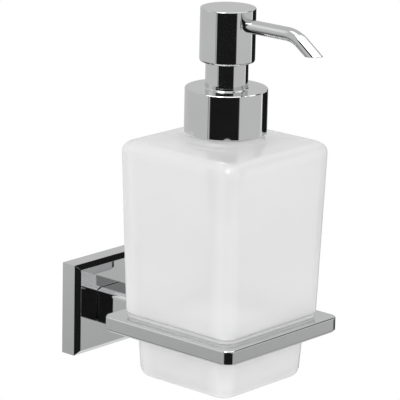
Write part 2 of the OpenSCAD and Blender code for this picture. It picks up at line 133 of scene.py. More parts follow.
def rounded_outline(corners: Sequence[Corner], closed: bool = True, steps: int = 5,
                    hold: float = 0.05) -> Outline:
    """Rounds an outline's corners and adds holding points beside each arc.

    Args:
        corners: the outline's corners in order.
        closed: whether the last corner joins the first; open ends stay as they are.
        steps: segments in each arc.
        hold: distance of the holding points from the arc, which keep flat faces flat.

    Returns:
        The points of the rounded outline.
    """
    nearly_straight, most_of_side = math.radians(178), 0.46
    points: list[Vector] = []
    count = len(corners)
    for i, corner in enumerate(corners):
        here = Vector((corner.out, corner.up))
        if not closed and i in (0, count - 1):
            points.append(here)
            continue
        before, after = corners[i - 1], corners[(i + 1) % count]
        to_before = Vector((before.out, before.up)) - here
        to_after = Vector((after.out, after.up)) - here
        a, b = to_before.normalized(), to_after.normalized()
        angle = a.angle(b)
        if corner.radius <= 0 or angle > nearly_straight:
            points.append(here)
            continue
        reach = corner.radius / math.tan(angle / 2)
        limit = most_of_side * min(to_before.length, to_after.length)
        radius = corner.radius * min(1.0, limit / reach)
        reach = min(reach, limit)
        centre = here + (a + b).normalized() * (radius / math.sin(angle / 2))
        start = here + a * reach
        if to_before.length - reach > 4 * hold:
            points.append(start + a * hold)
        first = start - centre
        sweep = math.copysign(math.pi - angle, first.y * a.x - first.x * a.y)
        points += [centre + Vector(rotated(first.x, first.y, sweep * k / steps))
                   for k in range(steps + 1)]
        if to_after.length - reach > 4 * hold:
            points.append(here + b * (reach + hold))
    return [(p.x, p.y) for p in points]


def rounded_square(side: float, radius: float, steps: int = CORNER_STEPS,
                   hold: float = 0.06) -> Outline:
    """A square with rounded corners, centred, always with the same number of points.

    Args:
        side: the square's side.
        radius: its corner radius.
        steps: segments in each corner.
        hold: distance of the holding points from the corner's arc.

    Returns:
        4 * (steps + 3) points, anticlockwise.
    """
    c = side / 2 - radius
    gap = min(hold, max(c, 0.0) / 2)
    arc = [(c + radius * math.cos(a), c + radius * math.sin(a))
           for a in (TURN / 4 * k / steps for k in range(steps + 1))]
    corner = [(c + radius, c - gap), *arc, (c - gap, c + radius)]
    return [rotated(x, y, quarter * TURN / 4) for quarter in range(4) for x, y in corner]


def even_circle(radius: float) -> Outline:
    """A circle with as many points as rounded_square, each beside its partner there.

    Args:
        radius: the circle's radius.

    Returns:
        The points, anticlockwise.
    """
    count = 4 * (CORNER_STEPS + 3)
    start = TURN / 8 - (CORNER_STEPS + 2) / 2 * TURN / count
    return [rotated(radius, 0.0, start + TURN * i / count) for i in range(count)]


def mixed(a: Outline, b: Outline, share: float) -> Outline:
    """The outline that lies the given share of the way from a to b."""
    return [(p[0] + (q[0] - p[0]) * share, p[1] + (q[1] - p[1]) * share) for p, q in zip(a, b)]


def lifted(points: Outline, axis_y: float, z: float) -> Loop:
    """Lifts a plan outline to a height on the bottle's centre line."""
    return [Vector((x, y + axis_y, z)) for x, y in points]


def square_loops(outline: Outline, corner: Callable[[float, float], float],
                 axis_y: float) -> list[Loop]:
    """Sweeps a bar's outline round a rounded square.

    Args:
        outline: (half a side, height) points.
        corner: the corner radius at such a point.
        axis_y: where the square's centre stands.

    Returns:
        One loop for each point.
    """
    return [lifted(rounded_square(2 * out, corner(out, z)), axis_y, z) for out, z in outline]


# ------------------------------------------------------------------ meshes


def linked(name: str, data: bpy.types.Mesh) -> Object:
    """Makes an object for a mesh and links it to the scene.

    Args:
        name: the object's name.
        data: its mesh.

    Returns:
        The object.
    """
    piece = bpy.data.objects.new(name, data)
    bpy.context.scene.collection.objects.link(piece)
    return piece


def mesh_object(name: str, mesh: bmesh.types.BMesh) -> Object:
    """Turns a bmesh in millimetres into a smooth shaded object in metres.

    Args:
        name: the object's name.
        mesh: the bmesh, which is used up.

    Returns:
        The object.
    """
    bmesh.ops.recalc_face_normals(mesh, faces=mesh.faces)
    bmesh.ops.scale(mesh, vec=(MM, MM, MM), verts=mesh.verts)
    data = bpy.data.meshes.new(name)
    mesh.to_mesh(data)
    mesh.free()
    data.shade_smooth()
    return linked(name, data)


def stack(name: str, loops: Sequence[Loop], shape: Shape) -> Object:
    """Skins a stack of loops that have equal numbers of points.

    Args:
        name: the object's name.
        loops: the loops, in millimetres.
        shape: how the stack is closed.

    Returns:
        The skin as an object.
    """
    mesh = bmesh.new()
    rows = [[mesh.verts.new(p) for p in loop] for loop in loops]
    pairs = list(zip(rows[:-1], rows[1:]))
    if shape is Shape.RING:
        pairs.append((rows[-1], rows[0]))
    for low, high in pairs:
        for i in range(len(low)):
            j = (i + 1) % len(low)
            mesh.faces.new((low[i], low[j], high[j], high[i]))
    if shape is Shape.CAPPED:
        for row in (rows[0], rows[-1]):
            middle = mesh.verts.new(sum((v.co for v in row), Vector()) / len(row))
            for i in range(len(row)):
                mesh.faces.new((row[i], row[(i + 1) % len(row)], middle))
    return mesh_object(name, mesh)


def turned(name: str, outline: Outline, axis_y: float, segments: int = 128) -> Object:
    """Turns a closed outline round the bottle's centre line.

    Args:
        name: the object's name.
        outline: (distance from the axis, height) points; points on the axis become poles.
        axis_y: where the axis stands.
        segments: steps round the axis.

    Returns:
        The finished object.
    """
    mesh = bmesh.new()
    circle = [rotated(1.0, 0.0, TURN * k / segments) for k in range(segments)]
    rows = [[mesh.verts.new((0.0, axis_y, z))] if r < 1e-6 else
            [mesh.verts.new((r * x, axis_y + r * y, z)) for x, y in circle] for r, z in outline]
    for low, high in zip(rows, rows[1:] + rows[:1]):
        for k in range(segments):
            j = (k + 1) % segments
            if len(low) > 1 and len(high) > 1:
                mesh.faces.new((low[k], low[j], high[j], high[k]))
            elif len(low) > 1:
                mesh.faces.new((low[k], low[j], high[0]))
            elif len(high) > 1:
                mesh.faces.new((low[0], high[j], high[k]))
    return mesh_object(name, mesh)


def block(low: Sequence[float], high: Sequence[float]) -> Object:
    """A plain box between two corners, as a cutter.

    Args:
        low: the lowest corner.
        high: the highest corner.

    Returns:
        The box.
    """
    mesh = bmesh.new()
    size = [b - a for a, b in zip(low, high)]
    middle = [(a + b) / 2 for a, b in zip(low, high)]
    bmesh.ops.create_cube(mesh, size=1.0, matrix=(Matrix.Translation(middle)
                                                  @ Matrix.Diagonal((*size, 1.0))))
    return mesh_object("stock", mesh)


def rod(x: float, y: float, low: float, high: float, radius: float, sides: int = 48) -> Object:
    """A plain upright rod, as stock or as a cutter.

    Args:
        x: where its axis stands along the wall.
        y: where its axis stands, from the wall.
        low: its lower end.
        high: its upper end.
        radius: its radius.
        sides: its number of sides.

    Returns:
        The rod.
    """
    mesh = bmesh.new()
    start, end = Vector((x, y, low)), Vector((x, y, high))
    turn = (end - start).to_track_quat("Z", "Y").to_matrix().to_4x4()
    bmesh.ops.create_cone(mesh, cap_ends=True, segments=sides, radius1=radius, radius2=radius,
                          depth=(end - start).length,
                          matrix=Matrix.Translation((start + end) / 2) @ turn)
    return mesh_object("stock", mesh)


def baked(piece: Object) -> Object:
    """Applies an object's modifiers to its mesh and removes them.

    Args:
        piece: the object.

    Returns:
        The same object with a plain mesh.
    """
    bpy.context.view_layer.update()
    graph = bpy.context.evaluated_depsgraph_get()
    data = bpy.data.meshes.new_from_object(piece.evaluated_get(graph),
                                           preserve_all_data_layers=True, depsgraph=graph)
    piece.modifiers.clear()
    piece.data = data
    return piece


def cut(piece: Object, tool: Object, how: str = "DIFFERENCE") -> None:
    """Cuts or joins a tool into a piece, and deletes the tool.

    Args:
        piece: the object that changes.
        tool: the cutter, or what is joined on.
        how: DIFFERENCE to cut, UNION to join.
    """
    step = piece.modifiers.new("cut", "BOOLEAN")
    step.operation, step.solver, step.object = how, "EXACT", tool
    baked(piece)
    bpy.data.objects.remove(tool)


def eased(piece: Object, name: str, width: float, segments: int = 3) -> Object:
    """Breaks every sharp edge with a small rounded bevel and keeps the flats flat.

    Args:
        piece: the object, with sharp edges.
        name: its final name.
        width: the bevel's width.
        segments: the bevel's steps.

    Returns:
        The same object with a plain mesh.
    """
    piece.name = name
    step = piece.modifiers.new("edges", "BEVEL")
    step.width, step.segments = width * MM, segments
    step.limit_method, step.angle_limit = "ANGLE", math.radians(26)
    step.harden_normals = True
    baked(piece)
    piece.data.name = name
    return piece


# ------------------------------------------------------------------ nodes


class Graph:
    """A short way to write nodes."""

    def __init__(self, tree: bpy.types.NodeTree) -> None:
        """Empties the tree."""
        self.tree = tree
        tree.nodes.clear()

    def feed(self, socket: Socket, value: object) -> None:
        """Links a socket to another, or sets it to a plain value.

        Args:
            socket: the input.
            value: an output, or the plain value.
        """
        if isinstance(value, Socket):
            self.tree.links.new(value, socket)
        else:
            socket.default_value = value

    def add(self, kind: str, **inputs: object) -> bpy.types.Node:
        """Adds a node; inputs are fed by their socket's name with _ for a space.

        Args:
            kind: the node's type.
            inputs: what feeds each named input.

        Returns:
            The node.
        """
        node = self.tree.nodes.new(kind)
        for label, value in inputs.items():
            self.feed(node.inputs[label.replace("_", " ")], value)
        return node

    def math(self, how: str, *values: object) -> Socket:
        """Adds a math node on one to three values.

        Args:
            how: the operation.
            values: outputs or plain numbers.

        Returns:
            The result.
        """
        node = self.add("ShaderNodeMath")
        node.operation = how
        for socket, value in zip(node.inputs, values):
            self.feed(socket, value)
        return node.outputs[0]

    def ramp(self, value: object, low: float, high: float, to_low: float, to_high: float,
             smooth: bool = False) -> Socket:
        """Maps a value from one range to another, clamped.

        Args:
            value: what is mapped.
            low: start of its range.
            high: end of its range.
            to_low: the result at the start.
            to_high: the result at the end.
            smooth: whether it eases in and out.

        Returns:
            The result.
        """
        node = self.add("ShaderNodeMapRange")
        node.interpolation_type = "SMOOTHSTEP" if smooth else "LINEAR"
        for socket, number in zip(node.inputs, (value, low, high, to_low, to_high)):
            self.feed(socket, number)
        return node.outputs[0]

    def blend(self, factor: Socket, low: object, high: object) -> Socket:
        """Goes from one value to another as the factor goes from 0 to 1.

        Args:
            factor: how far to go.
            low: the value at 0.
            high: the value at 1.

        Returns:
            The result.
        """
        node = self.add("ShaderNodeMix")
        for index, value in ((0, factor), (2, low), (3, high)):
            self.feed(node.inputs[index], value)
        return node.outputs[0]

    def shade(self, factor: Socket, dark: Sequence[float], light: Sequence[float]) -> Socket:
        """Mixes two colours.

        Args:
            factor: 0 for the dark one, 1 for the light one.
            dark: the dark colour.
            light: the light colour.

        Returns:
            The mixed colour.
        """
        node = self.add("ShaderNodeMix")
        node.data_type = "RGBA"
        for index, value in ((0, factor), (6, (*dark, 1.0)), (7, (*light, 1.0))):
            self.feed(node.inputs[index], value)
        return node.outputs[2]

    def noise(self, scale: float, detail: float = 2.0,
              stretch: Sequence[float] = (1.0, 1.0, 1.0)) -> Socket:
        """Noise on object coordinates.

        Args:
            scale: features per metre.
            detail: how fine its smallest layer is.
            stretch: factors on the three coordinates.

        Returns:
            The noise, from 0 to 1.
        """
        place = self.add("ShaderNodeTexCoord")
        turn = self.add("ShaderNodeMapping", Vector=place.outputs["Object"],
                        Scale=tuple(stretch))
        return self.add("ShaderNodeTexNoise", Vector=turn.outputs["Vector"], Scale=scale,
                        Detail=detail).outputs[0]

    def bump(self, height: Socket, depth: float, strength: float = 1.0) -> Socket:
        """A bump of the given depth in metres.

        Args:
            height: the height, from 0 to 1.
            depth: the depth in metres.
            strength: how much of it shows.

        Returns:
            The bent normal.
        """
        return self.add("ShaderNodeBump", Height=height, Distance=depth,
                        Strength=strength).outputs["Normal"]

    def split(self, coordinates: str) -> Sequence[Socket]:
        """The three numbers of a kind of texture coordinates."""
        place = self.add("ShaderNodeTexCoord")
        return self.add("ShaderNodeSeparateXYZ", Vector=place.outputs[coordinates]).outputs[:3]

    def surface(self, shader: bpy.types.Node) -> None:
        """Ends the tree in this shader."""
        self.add("ShaderNodeOutputMaterial", Surface=shader.outputs[0])


class PieceTree(Graph):
    """A geometry node tree that makes one piece from points, with one named size."""

    def __init__(self, name: str, label: str, size: float) -> None:
        """Starts the tree with its inputs.

        Args:
            name: the piece's name.
            label: what the size is called.
            size: its value.
        """
        super().__init__(bpy.data.node_groups.new(name + "_nodes", "GeometryNodeTree"))
        self.name, self.size = name, size
        face = self.tree.interface
        face.new_socket("Points", in_out="INPUT", socket_type="NodeSocketGeometry")
        self.socket = face.new_socket(label, in_out="INPUT", socket_type="NodeSocketFloat")
        self.socket.default_value = size
        face.new_socket("Piece", in_out="OUTPUT", socket_type="NodeSocketGeometry")
        self.points, self.sized = self.add("NodeGroupInput").outputs[:2]

    def piece(self, shape: Socket, places: Sequence[Sequence[float]],
              edges: Sequence[tuple[int, int]] = ()) -> Object:
        """Ends the tree in realised, painted geometry and runs it.

        Args:
            shape: what the nodes have made.
            places: the points to run on, in millimetres.
            edges: pairs of points that an edge joins.

        Returns:
            The piece as a plain mesh object.
        """
        real = self.add("GeometryNodeRealizeInstances", Geometry=shape)
        paint = self.add("GeometryNodeSetMaterial", Geometry=real.outputs["Geometry"],
                         Material=PIECES[self.name].finish.material())
        self.add("NodeGroupOutput", Piece=paint.outputs["Geometry"])
        data = bpy.data.meshes.new(self.name)
        data.from_pydata([Vector(p) * MM for p in places], edges, [])
        piece = linked(self.name, data)
        step = piece.modifiers.new("nodes", "NODES")
        step.node_group = self.tree
        step[self.socket.identifier] = self.size
        return baked(piece)


def wire(name: str, path: Sequence[Sequence[float]], radius: float,
         corners: int = 16) -> Object:
    """Sweeps a round wire along a path.

    Args:
        name: the piece's name.
        path: the path's points in millimetres.
        radius: the wire's radius.
        corners: sides of its profile.

    Returns:
        The wire as a plain mesh object.
    """
    tree = PieceTree(name, "Wire radius", radius * MM)
    curve = tree.add("GeometryNodeMeshToCurve", Mesh=tree.points)
    profile = tree.add("GeometryNodeCurvePrimitiveCircle", Resolution=corners, Radius=tree.sized)
    sweep = tree.add("GeometryNodeCurveToMesh", Curve=curve.outputs["Curve"],
                     Profile_Curve=profile.outputs["Curve"], Fill_Caps=True)
    smooth = tree.add("GeometryNodeSetShadeSmooth", Geometry=sweep.outputs["Mesh"])
    return tree.piece(smooth.outputs["Geometry"], path,
                      [(i, i + 1) for i in range(len(path) - 1)])


def spread(name: str, places: Sequence[Sequence[float]], single: Object) -> Object:
    """Puts copies of one fastener at several places.

    Args:
        name: the group's name.
        places: where the copies go, in millimetres.
        single: the fastener, made at the origin; it is deleted afterwards.

    Returns:
        All copies as one plain mesh object.
    """
    tree = PieceTree(name, "Size", 1.0)
    info = tree.add("GeometryNodeObjectInfo", Object=single)
    put = tree.add("GeometryNodeInstanceOnPoints", Points=tree.points, Scale=tree.sized,
                   Instance=info.outputs["Geometry"])
    piece = tree.piece(put.outputs["Instances"], places)
    bpy.data.objects.remove(single)
    return piece


# ------------------------------------------------------------------ finishes


@dataclass(frozen=True)
class Finish:
    """A named surface finish; subclasses say how it is built.

    Noises are in features per metre. The colour goes down to its darkest share, and the
    roughness gets smoother and rougher by the amounts that a subclass gives.
    """

    name: str = "plain"
    colour: Colour = (0.5, 0.5, 0.5)
    roughness: float = 0.3

    def nodes(self, graph: Graph) -> None:
        """Builds the finish's nodes."""
        raise NotImplementedError

    def tint(self, graph: Graph, cloud: Socket) -> Socket:
        """The finish's colour, which a noise darkens to the finish's share.

        Args:
            graph: the material's nodes.
            cloud: the noise.

        Returns:
            The colour.
        """
        return graph.shade(graph.ramp(cloud, *NOISE_RANGE, 0.0, 1.0),
                           [c * self.darkest for c in self.colour], self.colour)

    def rough(self, graph: Graph, cloud: Socket) -> Socket:
        """The finish's roughness, which a noise varies.

        Args:
            graph: the material's nodes.
            cloud: the noise.

        Returns:
            The roughness.
        """
        return graph.ramp(cloud, *NOISE_RANGE, self.roughness - self.smoother,
                          self.roughness + self.rougher)

    @cache
    def material(self) -> Material:
        """Makes the finish's material, once.

        Returns:
            The material.
        """
        made = bpy.data.materials.new(self.name)
        made.use_nodes = True
        self.nodes(Graph(made.node_tree))
        return made


@dataclass(frozen=True)
class Chrome(Finish):
    """Polished chrome plate: faint waviness, faint haze and fine polishing variation."""

    name: str = "polished_chrome"
    colour: Colour = (0.72, 0.725, 0.73)
    roughness: float = 0.03
    darkest: float = 0.97
    cloud: float = 70.0
    haze: float = 0.03
    haze_range: tuple[float, float] = (0.35, 0.75)
    wave: float = 45.0
    wave_depth: float = 0.000012

    def nodes(self, graph: Graph) -> None:
        """Builds the plate's nodes.

        Args:
            graph: the material's nodes.
        """
        cloud = graph.noise(self.cloud, 3.0)
        rough = graph.ramp(cloud, *self.haze_range, self.roughness, self.roughness + self.haze)
        graph.surface(graph.add("ShaderNodeBsdfPrincipled", Metallic=1.0, Roughness=rough,
                                Base_Color=self.tint(graph, cloud),
                                Normal=graph.bump(graph.noise(self.wave, 1.0),
                                                  self.wave_depth)))


@dataclass(frozen=True)
class FrostedGlass(Finish):
    """Thick glass, etched milky outside and clear inside, denser at corners and ends.

    The dense amounts are taken off the clearness; the other sizes say where the bottle's
    sides, corners and ends lie, in metres.
    """

    name: str = "frosted_glass"
    colour: Colour = (0.98, 0.98, 0.98)
    roughness: float = 0.11
    smoother: float = 0.02
    rougher: float = 0.02
    darkest: float = 0.99
    cloud: float = 55.0
    grain: float = 5200.0
    grain_depth: float = 0.00002
    grain_strength: float = 0.4
    bending: float = 1.5
    cavity_roughness: float = 0.03
    clear: float = 0.3
    corner_dense: float = 0.08
    shoulder_dense: float = 0.07
    foot_dense: float = 0.09
    base_dense: float = 0.05
    axis_y: float = -0.0778
    foot_half: float = 0.03175
    foot_z: float = 0.00995
    taper: float = 0.0275
    waist_half: float = 0.02845
    base_taper: float = 0.0587
    corner: float = 0.0061
    corner_fade: tuple[float, float] = (-0.0030, 0.0024)
    shoulder_fade: tuple[float, float] = (0.082, 0.0895)
    foot_fade: float = 0.046
    base_fade: float = 0.004
    lean: float = 0.3

    def corners(self, graph: Graph) -> Socket:
        """A mask that is 1 along the four upright corners and 0 on the flats.

        Args:
            graph: the material's nodes.

        Returns:
            The mask.
        """
        x, y, z = graph.split("Object")
        x = graph.math("ABSOLUTE", x)
        y = graph.math("ABSOLUTE", graph.math("SUBTRACT", y, self.axis_y))
        upper, lower = (graph.math("MULTIPLY_ADD", z, taper, half - self.foot_z * taper)
                        for half, taper in ((self.foot_half, self.taper),
                                            (self.waist_half, self.base_taper)))
        half = graph.blend(graph.math("GREATER_THAN", z, self.foot_z), lower, upper)
        across = graph.math("ADD", graph.math("MULTIPLY", x, 1.0 + self.lean),
                            graph.math("MULTIPLY", y, 1.0 - self.lean))
        beyond = graph.math("SUBTRACT", across,
                            graph.math("MULTIPLY_ADD", half, 2.0, -self.corner))
        return graph.ramp(beyond, *self.corner_fade, 0.0, 1.0, True)

    def density(self, graph: Graph) -> Socket:
        """How much less clear the etched skin is at the corners, shoulder, foot and base.

        Args:
            graph: the material's nodes.

        Returns:
            What is taken off the clearness.
        """
        z, foot = graph.split("Object")[2], self.foot_z
        total = graph.ramp(z, *self.shoulder_fade, 0.0, self.shoulder_dense, True)
        for band in (graph.ramp(z, foot, foot + self.foot_fade, self.foot_dense, 0.0, True),
                     graph.ramp(z, foot - self.base_fade, foot, self.base_dense, 0.0, True)):
            total = graph.math("MAXIMUM", total, band)
        spare = graph.math("MULTIPLY", self.corners(graph), self.corner_dense)
        return graph.math("MULTIPLY_ADD", graph.math("SUBTRACT", 1.0, total), spare, total)

    def nodes(self, graph: Graph) -> None:
        """Builds the glass's nodes.

        Args:
            graph: the material's nodes.
        """
        inner = graph.add("ShaderNodeAttribute")
        inner.attribute_name = "cavity"
        cavity = inner.outputs["Fac"]
        cloud = graph.noise(self.cloud, 3.0)
        rough = graph.blend(cavity, self.rough(graph, cloud), self.cavity_roughness)
        milk = graph.math("SUBTRACT", self.clear, self.density(graph))
        etched = graph.bump(graph.noise(self.grain), self.grain_depth, self.grain_strength)
        graph.surface(graph.add("ShaderNodeBsdfPrincipled", Roughness=rough, IOR=self.bending,
                                Base_Color=self.tint(graph, cloud), Normal=etched,
                                Transmission_Weight=graph.blend(cavity, milk, 1.0)))


@dataclass(frozen=True)
class Plastic(Finish):
    """Moulded plastic with a fine grain and slight unevenness."""

    name: str = "moulded_plastic"
    colour: Colour = (0.75, 0.75, 0.74)
    roughness: float = 0.42
    grain: float = 1800.0
    grain_depth: float = 0.00003
    clear: float = 0.0
    smoother: float = 0.06
    rougher: float = 0.06
    darkest: float = 0.94
    cloud: float = 90.0
    grain_strength: float = 0.5

    def nodes(self, graph: Graph) -> None:
        """Builds the plastic's nodes.

        Args:
            graph: the material's nodes.
        """
        cloud = graph.noise(self.cloud, 3.0)
        skin = graph.bump(graph.noise(self.grain), self.grain_depth, self.grain_strength)
        graph.surface(graph.add("ShaderNodeBsdfPrincipled", Normal=skin,
                                Base_Color=self.tint(graph, cloud),
                                Roughness=self.rough(graph, cloud),
                                Transmission_Weight=self.clear))


@dataclass(frozen=True)
class Steel(Finish):
    """Plain or plated steel with drawn or rolled lines."""

    name: str = "steel"
    colour: Colour = (0.5, 0.5, 0.52)
    roughness: float = 0.28
    stretch: tuple[float, float, float] = (1.0, 1.0, 0.05)
    smoother: float = 0.08
    rougher: float = 0.1
    darkest: float = 0.8
    lines: float = 1500.0
    line_depth: float = 0.00001
    line_strength: float = 0.5

    def nodes(self, graph: Graph) -> None:
        """Builds the steel's nodes.

        Args:
            graph: the material's nodes.
        """
        drawn = graph.noise(self.lines, 3.0, self.stretch)
        skin = graph.bump(drawn, self.line_depth, self.line_strength)
        graph.surface(graph.add("ShaderNodeBsdfPrincipled", Metallic=1.0,
                                Base_Color=self.tint(graph, drawn),
                                Roughness=self.rough(graph, drawn), Normal=skin))


# ------------------------------------------------------------------ what each piece is


@dataclass(frozen=True)
class Role:
    """What a piece moves with, its material slot, its finish and the node it stands for."""

    body: Body
    slot: str
    finish: Finish
    node: str = ""


CHROME = Chrome()
GLASS = FrostedGlass()
LINER = Plastic("liner_plastic", (0.97, 0.97, 0.97), 0.38, 2400.0, 0.00002, 0.2)
CLOSURE = Plastic("closure_plastic", (0.62, 0.62, 0.62), 0.45)
PUMP = Plastic("pump_plastic", (0.78, 0.78, 0.77), 0.35)
PISTON = Plastic("piston_plastic", (0.5, 0.56, 0.62), 0.4)
TUBE = Plastic("tube_plastic", (0.93, 0.93, 0.92), 0.3, 900.0, 0.00001, 0.12)
RUBBER = Plastic("gasket_rubber", (0.55, 0.54, 0.5), 0.7, 1200.0, 0.00006)
BALL = Plastic("ball_glass", (0.75, 0.8, 0.82), 0.12, 600.0, 0.000004, 0.6)
ZINC = Steel("zinc_steel", (0.6, 0.61, 0.63), 0.32, (1.0, 1.0, 0.06))
SCREW = Steel("screw_steel", (0.5, 0.51, 0.53), 0.25, (1.0, 1.0, 0.1))
SPRING = Steel("spring_steel", (0.55, 0.55, 0.57), 0.2, (0.2, 0.2, 1.0))

PIECES = {
    "plate_cover": Role(Body.WALL, "chrome_cover", CHROME, "escutcheon"),
    "plate_grub_screw": Role(Body.WALL, "screw_steel", SCREW, "grub_screw"),
    "arm_bar": Role(Body.WALL, "chrome_arm", CHROME, "arm"),
    "ring_frame": Role(Body.WALL, "chrome_ring", CHROME, "holder_ring"),
    "ring_fixing_screws": Role(Body.WALL, "screw_steel", SCREW, "ring_screws"),
    "ring_liner": Role(Body.WALL, "liner_plastic", LINER, "glass_liner"),
    "frosted_bottle": Role(Body.BOTTLE, "frosted_glass", GLASS, "bottle"),
    "neck_thread": Role(Body.BOTTLE, "frosted_glass", GLASS),
    "collar_cap": Role(Body.COLLAR, "chrome_collar", CHROME, "collar_shell"),
    "pump_sleeve": Role(Body.COLLAR, "chrome_sleeve", CHROME, "neck_sleeve"),
    "closure_core": Role(Body.COLLAR, "closure_plastic", CLOSURE, "closure"),
    "pump_barrel": Role(Body.PUMP, "pump_plastic", PUMP, "pump_housing"),
    "gasket_ring": Role(Body.PUMP, "gasket_rubber", RUBBER, "housing_gasket"),
    "stem_tube": Role(Body.PLUNGER, "pump_plastic", PUMP, "stem"),
    "suction_tube": Role(Body.PUMP, "tube_plastic", TUBE, "dip_tube"),
    "stem_guide": Role(Body.PUMP, "pump_plastic", PUMP, "chaplet"),
    "pump_piston": Role(Body.PLUNGER, "piston_plastic", PISTON, "piston"),
    "spring_coil": Role(Body.PUMP, "spring_steel", SPRING, "return_spring"),
    "head_cap": Role(Body.HEAD, "chrome_head", CHROME, "head_shell"),
    "head_bush": Role(Body.HEAD, "pump_plastic", PUMP, "guide_bush"),
    "spout_tube": Role(Body.HEAD, "chrome_spout", CHROME, "spout"),
}


# ------------------------------------------------------------------ sub-assemblies


@dataclass(frozen=True)
class NodeBox:
    """A node's box in millimetres."""

    low: Vector
    high: Vector

    @classmethod
    def of(cls, node: str) -> "NodeBox":
        """Reads the box of a node of the frame."""
        low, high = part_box(node)
        return cls(Vector(low) / MM, Vector(high) / MM)

    @property
    def size(self) -> Vector:
        """The box's three sides."""
        return self.high - self.low

    @property
    def middle(self) -> Vector:
        """The box's centre."""
        return (self.high + self.low) / 2


@dataclass
class SubAssembly:
    """What all sub-assemblies share: the frame, and how pieces are made and placed."""

    frame: dict
    segments: int = 128

    def place(self, piece: Object) -> None:
        """Gives a finished piece the material and body of its role, and hides the node it stands
        for, if any.

        Args:
            piece: the piece, named as in PIECES.
        """
        role = PIECES[piece.name]
        piece.data.materials.clear()
        piece.data.materials.append(role.finish.material())
        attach(piece, role.body.value)
        if role.node:
            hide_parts(role.node)
        LOG.info("%s: %d faces, rides on %s", piece.name, len(piece.data.polygons),
                 role.body.value)

    def turn(self, name: str, corners: Sequence[Corner], steps: int = 5) -> None:
        """Turns a rounded outline round the bottle's centre line and places the piece.

        Args:
            name: the piece's name.
            corners: its closed outline, as (distance from the axis, height) corners.
            steps: segments in each rounded corner.
        """
        self.place(turned(name, rounded_outline(corners, steps=steps), self.axis_y,
                          self.segments))

    def dress(self, node: str, finish: Finish) -> None:
        """Gives a node that stays its material in every slot.

        Args:
            node: the node's name.
            finish: its finish.
        """
        kept, material = self.frame["nodes"][node], finish.material()
        if not kept.data.materials:
            kept.data.materials.append(material)
        for slot in kept.material_slots:
            slot.material = material
        LOG.info("%s: kept from the frame", node)


@dataclass
class WallPlate(SubAssembly):
    """The square cover, its grub screw and the hardware behind it."""

    bevel_width: float = 2.3
    bevel_depth: float = 2.0
    wall: float = 2.2
    face: float = 2.5
    edge: float = 0.42
    boss_r: float = 3.4
    boss_inset: float = 0.6
    boss_sunk: float = 0.5
    hole_r: float = 2.03
    socket_r: float = 1.15
    socket_depth: float = 2.0
    screw_edge: float = 0.14

    def build(self) -> None:
        """Builds and dresses all pieces at the wall."""
        self.screw = NodeBox.of("grub_screw")
        self.cover()
        self.grub_screw()
        self.dress("wall_bracket", ZINC)
        self.dress("arm_washer", ZINC)
        self.dress("arm_bolt", SCREW)

    def cover(self) -> None:
        """The cover: bevelled front, hollow back, and the boss with the screw's hole."""
        box = NodeBox.of("escutcheon")
        half, depth = box.size.x / 2, box.size.y
        inner = half - self.wall
        rings = ((inner, depth - self.face), (inner, 0.0), (half, 0.0),
                 (half, depth - self.bevel_depth), (half - self.bevel_width, depth))
        cover = stack("stock", [[Vector((x * side, -out, z * side))
                                 for x, z in ((-1, -1), (1, -1), (1, 1), (-1, 1))]
                                for side, out in rings], Shape.CAPPED)
        y = self.screw.middle.y
        cut(cover, rod(0, y, -inner - self.boss_sunk, self.screw.high.z - self.boss_inset,
                       self.boss_r), "UNION")
        cut(cover, rod(0, y, -half - PAST, 0, self.hole_r))
        self.place(eased(cover, "plate_cover", self.edge))

    def grub_screw(self) -> None:
        """The grub screw with its hexagon socket."""
        y, low = self.screw.middle.y, self.screw.low.z
        screw = rod(0, y, low, self.screw.high.z, self.screw.size.x / 2)
        cut(screw, rod(0, y, low - PAST, low + self.socket_depth, self.socket_r, 6))
        self.place(eased(screw, "plate_grub_screw", self.screw_edge, 2))


